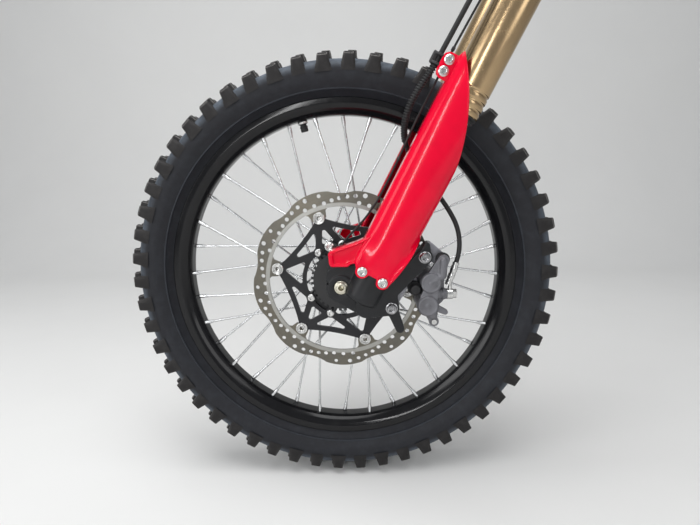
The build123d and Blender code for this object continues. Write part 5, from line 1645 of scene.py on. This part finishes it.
@dataclass
class Guard:
    """Moulded fork guard: a channel round the leg, a dished nose and an upper ear.

    Attributes:
        side: The side of the part.
        front_n, rear_n: Where the channel's flanks stand.
        out_y, in_y: Distances from the middle of its face and of its free edges.
        wall: Thickness.
        corner_r, rear_corner_r: Radii between face and flanks, higher up.
        low_corner_r, low_rear_corner_r: The same at the lower bolts.
        low_bolts, top_bolts: Places of the bolts.
        lobe_r: Radius of the lobes round the bolts.
        rear_sweep: The low edge's arc from the rear bolt up the rear flank.
        front_s: Where the low and top edges meet the front flank.
        top_sweep: The top edge's arc from front to rear.
        rear_s: Where that edge meets the rear flank.
        dish, dish_r, dish_rim: Depth and radius of the bolts' seats and width of their rims.
        soften_mm: How far from its edges the face starts to fall away.
        edge_fall: How far it has fallen at them.
        crown_deg: How far the face's own arc leans at its corners, above the bolts.
        low_s, full_s: Where up the leg the corners start to grow and are full.
        nose_corners: Outline of the forward nose.
        nose_levels, ear_levels: Inset and y of the rings of the nose and of the ear.
    """

    side: Side
    front_n: float = -3.0
    rear_n: float = 69.0
    out_y: float = 134.0
    in_y: float = 90.0
    wall: float = 3.0
    corner_r: float = 17.0
    low_corner_r: float = 9.0
    rear_corner_r: float = 28.0
    low_rear_corner_r: float = 11.0
    low_bolts: tuple = LOW_BOLTS
    top_bolts: tuple = TOP_BOLTS
    lobe_r: float = 10.0
    rear_sweep: tuple = ((66.0, 68.0), (70.0, 111.0))
    front_s: tuple = (48.0, 352.0)
    top_sweep: tuple = ((1.0, 361.0), (48.0, 285.0), (67.0, 230.0))
    rear_s: float = 178.0
    dish: float = 0.9
    dish_r: float = 9.4
    dish_rim: float = 1.4
    soften_mm: float = 7.0
    edge_fall: float = 1.3
    crown_deg: float = 18.0
    low_s: float = 52.0
    full_s: float = 102.0
    nose_corners: tuple = (
        (4.0, 46.0), (-3.5, 42.0), (-6.0, 35.5), (-28.0, 24.5), (-31.5, 27.0), (-40.0, 40.0), (-37.5, 45.5),
        (-9.6, 74.0), (4.0, 92.0),
    )
    nose_levels: tuple = (
        (-1, 121.5), (3.0, 121.5), (2.8, 104.2), (2.4, 103.3), (1.5, 103.0), (0.4, 103.3), (0.0, 104.2),
        (0.0, 126.0), (0.35, 127.5), (1.2, 128.6), (2.2, 129.0), (-0.22, 128.9), (-0.26, 128.2),
        (-0.29, 126.2), (-0.33, 125.2), (-0.38, 125.0), (-1, 125.0),
    )
    ear_levels: tuple = (
        (-1, 119.0), (1.0, 119.0), (0.3, 119.3), (0.0, 120.0), (0.0, 121.0), (0.3, 121.7), (1.0, 122.0),
        (-1, 122.0),
    )

    def edges(self, n: Array) -> tuple[Array, Array]:
        """Follows the side view's low edge round the bolts' lobes, and its top edge.

        Args:
            n: Distances rearward of the axle.

        Returns:
            The lowest and the highest s at each n.
        """
        (n1, s1), (n2, s2) = self.low_bolts
        ends = [self.front_n - 1.0, self.rear_n + 1.0]
        rear = arc_through((n2 + self.lobe_r, s2), *self.rear_sweep)
        low = np.interp(n, [ends[0], n1 - self.lobe_r, *rear[:, 0]], [self.front_s[0], s1, *rear[:, 1]])
        for at_n, at_s in self.low_bolts:
            drop = np.sqrt(np.clip(self.lobe_r**2 - (n - at_n) ** 2, 0, None))
            low = np.where(drop > 0, np.minimum(low, at_s - drop), low)
        notch_r = self.lobe_r - 1.0
        notch = s1 - self.lobe_r + np.sqrt(np.clip(notch_r**2 - (n - (n1 + n2) / 2) ** 2, 0, None))
        low = np.where(np.abs(n - (n1 + n2) / 2) < notch_r, np.maximum(low, notch), low)
        top = arc_through(*self.top_sweep)
        return low, np.interp(n, [ends[0], *top[:, 0], ends[1]], [self.front_s[1], *top[:, 1], self.rear_s])

    def section(self, radius: Array, big: Array, lean: Array) -> tuple[Array, Array, Array]:
        """Goes round the channel for each row's corner radii.

        A rounded free edge, the front flank, its corner, the face and the same on the
        rear side each take a share of the columns. A corner is a circle from the flank
        up to lean short of a quarter turn, and the face is the arc of width w that
        joins both corners at that angle, which is w / 2 tan(lean / 2) high.

        Args:
            radius: Front corner radius, of shape (rows, 1).
            big: Rear corner radius, of the same shape.
            lean: Angle of the face's arc at the corners, of the same shape.

        Returns:
            Places and normals of shape (rows, columns, 2), y positive outward, and each
            column's share of the way from the skin to the middle of the wall.
        """
        half, one = self.wall / 2, np.ones_like(radius)
        lip = np.linspace(pi / 2, 0, 5)[:-1]
        t, a = np.linspace(0, 1, 9)[:-1], np.linspace(0, 1, 15)[:-1] * (pi / 2 - lean)
        face, back = np.linspace(1, -1, 39)[:-1] * lean, np.linspace(1, 0, 9)
        start = self.front_n + radius * (1 - np.sin(lean))
        width = self.rear_n - big * (1 - np.sin(lean)) - start
        high = width / 2 * np.tan(lean / 2)
        front_y, rear_y = (self.out_y - high + r * (1 - np.cos(lean)) for r in (radius, big))
        edge = self.in_y + half * (1 - np.sin(lip))
        foot = self.in_y + half
        n = [self.front_n + 0 * lip, self.front_n + 0 * t, self.front_n + radius * (1 - np.cos(a)),
             start + width / 2 * (1 - np.sin(face) / np.sin(lean)),
             self.rear_n - big + big * np.sin(lean + a), self.rear_n + 0 * back, self.rear_n + 0 * lip]
        y = [edge, foot + t * (front_y - radius - foot), front_y - radius * (1 - np.sin(a)),
             self.out_y - high * (1 - np.cos(face)) / (1 - np.cos(lean)),
             rear_y - big * (1 - np.cos(lean + a)), foot + back * (rear_y - big - foot), edge[::-1]]
        nx = [0 * lip - 1, 0 * t - 1, -np.cos(a), -np.sin(face), np.sin(lean + a), 0 * back + 1, 0 * lip + 1]
        ny = [0 * lip, 0 * t, np.sin(a), np.cos(face), np.cos(lean + a), 0 * back, 0 * lip]
        join = [np.concatenate([part * one for part in parts], axis=1) for parts in (n, y, nx, ny)]
        thin = np.zeros(join[0].shape[1])
        thin[:4], thin[-4:] = 1 - np.cos(lip), (1 - np.cos(lip))[::-1]
        return np.stack(join[:2], axis=-1), np.stack(join[2:], axis=-1), thin

    def channel(self) -> Array:
        """Draws the channel as one closed band: out over the face, round the lip and back inside.

        Down a column the outer skin runs at inset 0, the inner at inset wall, and a
        half circle of radius wall / 2 joins them at each end. The face falls away by
        edge_fall (1 - d / soften_mm)^2 within soften_mm of an edge, and by the dish
        round each bolt; both fade with the share of the wall.

        Returns:
            A grid of points whose rows run up the leg and whose last row joins the first.
        """
        half = self.wall / 2
        lip = np.linspace(pi, 0, 8)[:-1]
        off = np.concatenate([half - half * np.sin(lip), half + 24.0 * np.linspace(0, 1, 28) ** 1.2])
        inset = np.concatenate([half - half * np.cos(lip), np.zeros(28)])
        share = np.linspace(0, 1, 32)[1:-1, None]

        def heights(low: Array, high: Array) -> Array:
            """Spaces the rows between the edges, from the low lip up to the top one.

            Args:
                low: The low edge's s in each column.
                high: The top edge's.

            Returns:
                Each row's s.
            """
            below, above = low + off[:, None], high - off[::-1, None]
            return np.vstack([below, below[-1:] + (above[:1] - below[-1:]) * share, above])

        least_lean = 0.01
        guess, _, _ = self.section(*np.full((2, 1, 1), self.corner_r), np.full((1, 1), least_lean))
        mean = heights(*self.edges(guess[..., 0])).mean(axis=1, keepdims=True)
        rise = np.clip((mean - self.low_s) / (self.full_s - self.low_s), 0, 1)
        rise = rise**2 * (3 - 2 * rise)
        front_r = self.low_corner_r + (self.corner_r - self.low_corner_r) * rise
        rear_r = self.low_rear_corner_r + (self.rear_corner_r - self.low_rear_corner_r) * rise
        place, normal, thin = self.section(front_r, rear_r, least_lean + radians(self.crown_deg) * rise)
        low, high = self.edges(place[..., 0])
        first, last = len(off) - 1, len(off) + len(share)
        s = np.empty_like(low)
        s[:first + 1], s[last:] = low[:first + 1] + off[:, None], high[last:] - off[::-1, None]
        s[first + 1:last] = s[first] + (s[last] - s[first]) * share
        row = np.concatenate([inset, np.zeros(len(share)), inset[::-1]])[:, None]
        fall = self.edge_fall * np.clip(1 - np.minimum(s - low, high - s) / self.soften_mm, 0, 1) ** 2
        for at_n, at_s in self.low_bolts:
            away = np.hypot(place[..., 0] - at_n, s - at_s)
            fall = fall + self.dish * np.clip((self.dish_r - away) / self.dish_rim, 0, 1)
        outer = row + half * thin * (1 - 2 * row / self.wall) + fall * (1 - row / self.wall) * (1 - thin)
        inner = np.broadcast_to(self.wall - half * thin, outer.shape)
        skins = [place - normal * depth[..., None] for depth in (outer, inner)]
        inside = slice(len(lip) + 1, -len(lip) - 1)
        flat = np.concatenate([skins[0], skins[1][inside][::-1]], axis=0)
        turned = np.concatenate([s, s[inside][::-1]], axis=0)
        return from_leg(flat[..., 0], self.side.value * flat[..., 1], turned)

    def nose(self) -> Array:
        """Draws the forward nose, a box open to the wheel with a dished outer side.

        Returns:
            A grid with a ring in each row.
        """
        outline = soften(np.array(self.nose_corners), 4.0, 5, closed=True)[::-1]
        return rings_of(outline, tuple((inset, self.side.value * y) for inset, y in self.nose_levels))

    def ear(self) -> Array:
        """Draws the upper ear, a plate round two bolts with rounded edges.

        Returns:
            A grid with a ring in each row.
        """
        turn = np.linspace(0, pi / 2, 15)
        ahead, up = self.lobe_r * np.sin(turn), self.lobe_r * np.cos(turn)
        (low_n, low_s), (top_n, top_s) = self.top_bolts
        top = np.stack([top_n - ahead, top_s + up], axis=-1)
        low = np.stack([low_n - up, low_s - ahead], axis=-1)
        behind = self.front_n + 4.0
        outline = np.vstack([[(behind, top_s + self.lobe_r)], top, low, [(behind, low_s - self.lobe_r)]])
        return rings_of(outline, tuple((inset, self.side.value * y) for inset, y in self.ear_levels))

    def build(self) -> None:
        """Builds the guard in place of its node."""
        node = "guard_" + self.side.label
        skin = Skin().grid(self.channel(), wrap_u=True)
        skin.grid(self.nose(), wrap_v=True).grid(self.ear(), wrap_v=True)
        settle(skin.build(node + "_form", 50.0), CRIMSON, node)


@dataclass
class CastForm:
    """A rigid CAD node whose copy is cast anew: extra solids melt into it and edges go soft.

    Attributes:
        node: The CAD node.
        finish: Its finish.
        voxel: Size of the cells it is cast in, in millimetres.
        rounds: Passes that soften the edges.
        extras: Closed grids that join the copy before it is cast.
    """

    node: str
    finish: Finish
    voxel: float
    rounds: int
    extras: tuple = ()

    def build(self) -> None:
        """Joins the extras to the copy, remeshes it in voxels and smooths it."""
        mesh, work = copy_node(self.node)
        for grid in self.extras:
            extra = Skin().grid(grid, wrap_v=True).build("extra")
            work.from_mesh(extra.data)
            bpy.data.objects.remove(extra)
        piece = link_mesh(mesh, work, self.node + "_form")
        cells = piece.modifiers.new("cells", "REMESH")
        cells.mode = "VOXEL"
        cells.voxel_size = self.voxel * MM
        cells.use_smooth_shade = True
        soft = piece.modifiers.new("soft", "SMOOTH")
        soft.factor = 0.5
        soft.iterations = self.rounds
        settle(piece, self.finish, self.node)


def drum(centre: tuple, along: tuple, rings: tuple, steps: int = 40) -> Array:
    """Turns rings about an axis into a closed solid.

    Args:
        centre: A place on its axis, axle-centred and in millimetres.
        along: Direction of the axis.
        rings: Radius and distance along the axis of each ring, from pole to pole.
        steps: Points round each ring.

    Returns:
        A grid of points.
    """
    axis = np.array(along, float) / np.linalg.norm(along)
    first = np.cross(axis, [0.3, 0.2, 0.9])
    first /= np.linalg.norm(first)
    second = np.cross(axis, first)
    radius, reach = np.array(rings, float).T
    angle = np.arange(steps) * 2 * pi / steps
    ring = first * np.cos(angle)[:, None] + second * np.sin(angle)[:, None]
    at = np.array(centre, float) + axis * reach[:, None]
    return AXLE + (at[:, None] + ring * radius[:, None, None]) * MM


def capsule(first: tuple, last: tuple, radius: float) -> Array:
    """Makes a round bar with ball ends.

    Args:
        first: Middle of one ball, axle-centred and in millimetres.
        last: Middle of the other.
        radius: The bar's radius.

    Returns:
        A grid of points.
    """
    along = np.array(last, float) - np.array(first, float)
    length = np.linalg.norm(along)
    a = np.linspace(0, pi / 2, 7)
    ball = np.stack([radius * np.sin(a), -radius * np.cos(a)], axis=-1)
    rings = np.vstack([ball, ball[::-1] * [1, -1] + [0, length]])
    return drum(first, along, tuple(map(tuple, rings)))


# Turned solids: radius and distance along the axis of each ring, from pole to pole
PISTON_LOBE = (
    (0.0, -6.0), (15.0, -6.0), (15.0, 0.8), (14.4, 2.4), (12.9, 3.0), (11.8, 2.9), (11.2, 2.3), (0.0, 2.2),
)
CALIPER_EXTRAS = (
    drum((131.0, -112.0, 6.3), (0, -1, 0), PISTON_LOBE),
    drum((127.0, -112.0, -28.0), (0, -1, 0), PISTON_LOBE),
    capsule((148.5, -109.5, 38.5), (147.6, -109.5, 17.0), 6.2),
    capsule((131.0, -108.0, 6.3), (147.0, -108.0, 17.0), 7.0),
    capsule((127.0, -107.0, -28.0), (134.0, -104.0, -42.0), 8.5),
    drum((141.5, -98.0, -13.0), (1, 0, 0), ((0, 0), (9.4, 0), (9.6, 1.0), (9.6, 3.4), (9.4, 4.4), (0, 4.4))),
    drum((149.0, -98.0, -13.0), (1, 0, 0), ((0, 0), (8.8, 0), (9.0, 1.0), (9.0, 2.4), (8.8, 3.4), (0, 3.4))),
    drum((137.3, -98.0, -55.0), (0, -1, 0),
         ((0, -4), (7.4, -4), (7.4, 4.4), (6.8, 5.2), (4.3, 5.2), (4.2, 4.0), (0, 4.0))),
)
HOLDER_FOOT = ((0.0, 12.0), (27.8, 12.0), (27.8, 0.0), (26.8, -3.2), (24.0, -5.6), (18.0, -7.2), (0.0, -8.0))
HOLDER_RIDGE = ((11.0, -2.0), (18.6, -2.0), (18.4, 0.9), (17.6, 1.3), (13.2, 1.3), (12.0, 0.6), (11.0, -2.0))
CLAMP_COLLAR = ((7.2, 0.0), (7.9, 0.4), (7.9, 3.1), (7.2, 3.5), (4.0, 3.5), (4.0, 0.0), (7.2, 0.0))


def from_axle(n: float, y: float, s: float) -> tuple:
    """A leg-frame place as axle-centred millimetres."""
    return tuple((from_leg(np.array(n), np.array(y), np.array(s)) - AXLE) / MM)


def holder_extras(side: Side) -> tuple:
    """Shapes what melts into an axle holder: its socket's round foot and a ridge round the axle.

    Args:
        side: The holder's side.

    Returns:
        Two grids of points.
    """
    foot = drum(from_axle(LEG_N, side.value * LEG_Y, 0.0), tuple(LEG_UP), HOLDER_FOOT, 56)
    face_y = side.value * 109.0
    return foot, drum((0.0, face_y, 0.0), (0, side.value, 0), HOLDER_RIDGE)


def clamp_extras() -> tuple:
    """Shapes what melts into the hose clamp: two collars round the hose and a latch.

    Returns:
        Three grids of points.
    """
    collars = [drum(from_axle(-24.2, -115.5, s), tuple(LEG_UP), CLAMP_COLLAR) for s in (330.0, 342.5)]
    return *collars, capsule(from_axle(-31.5, -118.0, 331.5), from_axle(-31.5, -118.0, 344.5), 2.4)


@dataclass
class Turned:
    """Like solids turned about lines, in place of a CAD node.

    Attributes:
        node: The CAD node.
        finish: Its finish.
        shapes: Grids of points from drum or capsule.
    """

    node: str
    finish: Finish
    shapes: tuple

    def build(self) -> None:
        """Builds the solids as one piece."""
        skin = Skin()
        for grid in self.shapes:
            skin.grid(grid, wrap_v=True)
        settle(skin.build(self.node + "_form", 40.0), self.finish, self.node)


BELLOWS = (
    (0.0, 0.0), (8.2, 0.0), (10.3, 0.5), (10.6, 1.3), (10.3, 2.1), (8.4, 2.8), (8.4, 3.2), (10.0, 3.9),
    (10.3, 4.7), (10.0, 5.5), (8.2, 6.2), (8.2, 6.6), (9.6, 7.3), (9.8, 8.1), (9.5, 8.9), (8.4, 9.4),
    (8.4, 10.6), (0.0, 10.6),
)
BOOT = (
    (0.0, 0.0), (10.4, 0.0), (10.5, 0.8), (10.5, 8.6), (10.1, 9.6), (9.0, 9.9), (8.7, 10.6), (9.3, 11.2),
    (9.5, 12.2), (9.0, 13.2), (7.9, 13.8), (7.6, 15.4), (7.7, 17.6), (7.0, 19.2), (5.4, 20.0), (0.0, 20.2),
)
PIN_BOOTS = (
    drum((148.5, -103.8, 39.0), (0, 1, 0), BELLOWS, 48),
    drum((108.5, -93.0, -4.0), (0, -1, 0), BOOT, 48),
)
AXLE_RINGS = (
    (0.0, -97.0), (3.5, -97.0), (3.8, -110.4), (4.3, -111.0), (7.2, -111.0), (7.8, -110.5), (8.0, -109.6),
    (9.2, -109.0), (9.3, -108.6), (9.95, -108.4), (10.0, -107.8), (10.0, 108.6), (14.6, 108.9), (15.0, 109.6),
    (15.0, 114.6), (14.2, 116.0), (8.6, 116.0), (8.0, 115.2), (7.9, 105.0), (0.0, 104.0),
)


@dataclass(frozen=True)
class Lamp:
    """A soft box that faces the wheel.

    Attributes:
        name: The lamp's name.
        at: Its place from the axle, in metres.
        size: Width and height, in metres.
        watts: Its power.
    """

    name: str
    at: tuple[float, float, float]
    size: tuple[float, float]
    watts: float

    def build(self) -> None:
        """Makes the lamp and turns it to a place just over the axle."""
        light = bpy.data.lights.new(self.name, "AREA")
        light.shape = "RECTANGLE"
        light.size, light.size_y = self.size
        light.energy = self.watts
        lamp = bpy.data.objects.new(self.name, light)
        place = Vector(AXLE) + Vector(self.at)
        aim = Vector(AXLE) + Vector((0.0, 0.0, 0.1)) - place
        lamp.matrix_world = Matrix.Translation(place) @ aim.to_track_quat("-Z", "Y").to_matrix().to_4x4()
        bpy.context.scene.collection.objects.link(lamp)


@dataclass
class Studio:
    """Camera, floor, lamps and world.

    Attributes:
        focal_px: Focal length in pixels of the picture.
        picture_px: The picture's width.
        camera_at: The camera's place from the axle, in metres.
        yaw_deg: Turn to the right of square to the wheel.
        pitch_deg: Tilt down.
        roll_deg: Turn of the picture about the view.
        floor_down: How far the floor is under the axle, in metres.
        floor_reach: How far the floor goes each way.
        bend_y, bend_r: Where behind the axle the floor bends up, and in what radius.
        floor_colour: Its linear colour.
        lamps: The lamps.
        sky: The world's linear colour.
        sky_strength: Its strength.
    """

    focal_px: float = 488.1
    picture_px: float = 700.0
    camera_at: tuple[float, float, float] = (0.0338, -0.8031, 0.1721)
    yaw_deg: float = -1.654
    pitch_deg: float = 10.958
    roll_deg: float = 1.015
    floor_down: float = 0.3505
    floor_reach: float = 6.0
    bend_y: float = 1.6
    bend_r: float = 0.9
    floor_colour: tuple[float, float, float] = (0.80, 0.80, 0.79)
    lamps: tuple[Lamp, ...] = (
        Lamp("ceiling", (-0.3, -0.5, 2.3), (2.4, 1.6), 46.0),
        Lamp("window", (-2.2, -1.6, 1.0), (1.2, 1.8), 25.0),
        Lamp("strip", (-0.37, -1.94, 0.52), (0.1, 1.1), 7.0),
        Lamp("fill", (2.0, -1.9, 0.9), (0.9, 1.8), 11.0),
    )
    sky: tuple[float, float, float] = (0.95, 0.97, 1.0)
    sky_strength: float = 0.36

    def camera(self) -> None:
        """Sets the camera at the photograph's place and angles."""
        yaw, pitch, roll = radians(self.yaw_deg), radians(self.pitch_deg), radians(self.roll_deg)
        ahead = Vector((sin(yaw) * cos(pitch), cos(yaw) * cos(pitch), -sin(pitch)))
        level = Vector((cos(yaw), -sin(yaw), 0.0))
        down = ahead.cross(level).normalized()
        right = level * cos(roll) + down * sin(roll)
        up = right.cross(ahead)
        lens = bpy.data.cameras.new("camera")
        lens.sensor_fit = "HORIZONTAL"
        lens.sensor_width = 36.0
        lens.lens = lens.sensor_width * self.focal_px / self.picture_px
        camera = bpy.data.objects.new("camera", lens)
        turn = Matrix((right, up, -ahead)).transposed().to_4x4()
        camera.matrix_world = Matrix.Translation(Vector(AXLE) + Vector(self.camera_at)) @ turn
        bpy.context.scene.collection.objects.link(camera)
        bpy.context.scene.camera = camera

    def floor(self) -> None:
        """Lays a pale sheet that runs flat under the wheel and curves up behind it."""
        reach, bend = self.floor_reach, self.bend_r
        t = np.linspace(0, pi / 2, 17)
        y = np.concatenate([[-reach], self.bend_y + bend * np.sin(t), [self.bend_y + bend]])
        z = np.concatenate([[0.0], bend * (1 - np.cos(t)), [reach]])
        x = np.linspace(-reach, reach, 9)
        base = np.array([AXLE[0], 0.0, AXLE[2] - self.floor_down])
        grid = np.stack(np.broadcast_arrays(x[:, None], y[None, :], z[None, :]), axis=-1) + base
        sheet = Skin().grid(grid).build("studio_floor", 60.0)
        g = Graph("studio_paper")
        tone = g.ramp(g.noise(g.place(AXLE), 3.0), 0.3, 0.7)
        pale = g.blend(tone, self.floor_colour, tuple(0.98 * c for c in self.floor_colour))
        sheet.data.materials.append(g.set(Base_Color=pale, Roughness=0.9))

    def build(self) -> None:
        """Sets the camera, floor, lamps and world."""
        self.camera()
        self.floor()
        for lamp in self.lamps:
            lamp.build()
        world = bpy.data.worlds.new("studio")
        world.use_nodes = True
        back = world.node_tree.nodes["Background"]
        back.inputs["Color"].default_value = (*self.sky, 1.0)
        back.inputs["Strength"].default_value = self.sky_strength
        bpy.context.scene.world = world
        bpy.context.scene.view_settings.view_transform = "Standard"
        log.info("studio: camera, floor and %d lamps", len(self.lamps))


def dress_cad(finishes: dict[str, Finish]) -> None:
    """Gives every CAD node its finish.

    Args:
        finishes: The finish of each node by its name.
    """
    for node, finish in finishes.items():
        part = frame["nodes"][node]
        part.data.materials.clear()
        part.data.materials.append(coat(finish))
    log.info("finishes on %d nodes", len(finishes))


def main() -> None:
    """Builds the studio and dresses each sub-assembly."""
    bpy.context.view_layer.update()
    Studio().build()
    dress_cad(CAD_FINISHES)
    Tyre().build()
    Rim().build()
    Spokes().build()
    ForkLegs().build()
    Fasteners().build()
    hose = HeldCord("brake_hose", SOFT_RUBBER, 3.5, HOSE_ROUTE).build()
    wire = HeldCord("sensor_wire", SOFT_RUBBER, 1.6, WIRE_ROUTE).build()
    Looms().build(hose, wire)
    DiscWebs().build()
    Valve().build()
    for side in Side:
        Guard(side).build()
    CastForm("caliper_body", CALIPER_CAST, 0.7, 4, CALIPER_EXTRAS).build()
    CastForm("caliper_bracket", BRACKET_CAST, 0.8, 3).build()
    CastForm("axle_holder_left", FORK_COAT, 1.05, 5, holder_extras(Side.LEFT)).build()
    CastForm("axle_holder_right", FORK_COAT, 1.3, 4, holder_extras(Side.RIGHT)).build()
    Turned("pin_boots", SOFT_RUBBER, PIN_BOOTS).build()
    CastForm("hose_clamp", MATT_PLASTIC, 0.7, 3, clamp_extras()).build()
    Turned("axle", AXLE_END, (drum((0.0, 0.0, 0.0), (0, 1, 0), AXLE_RINGS, 64),)).build()
    for name in ("lower_clamp", "upper_clamp"):
        CastForm(name, FORK_COAT, 1.6, 4).build()
    for node, radius in CASTINGS.items():
        Casting(node, CAD_FINISHES[node], radius).build()


if __name__ == "__main__":
    main()
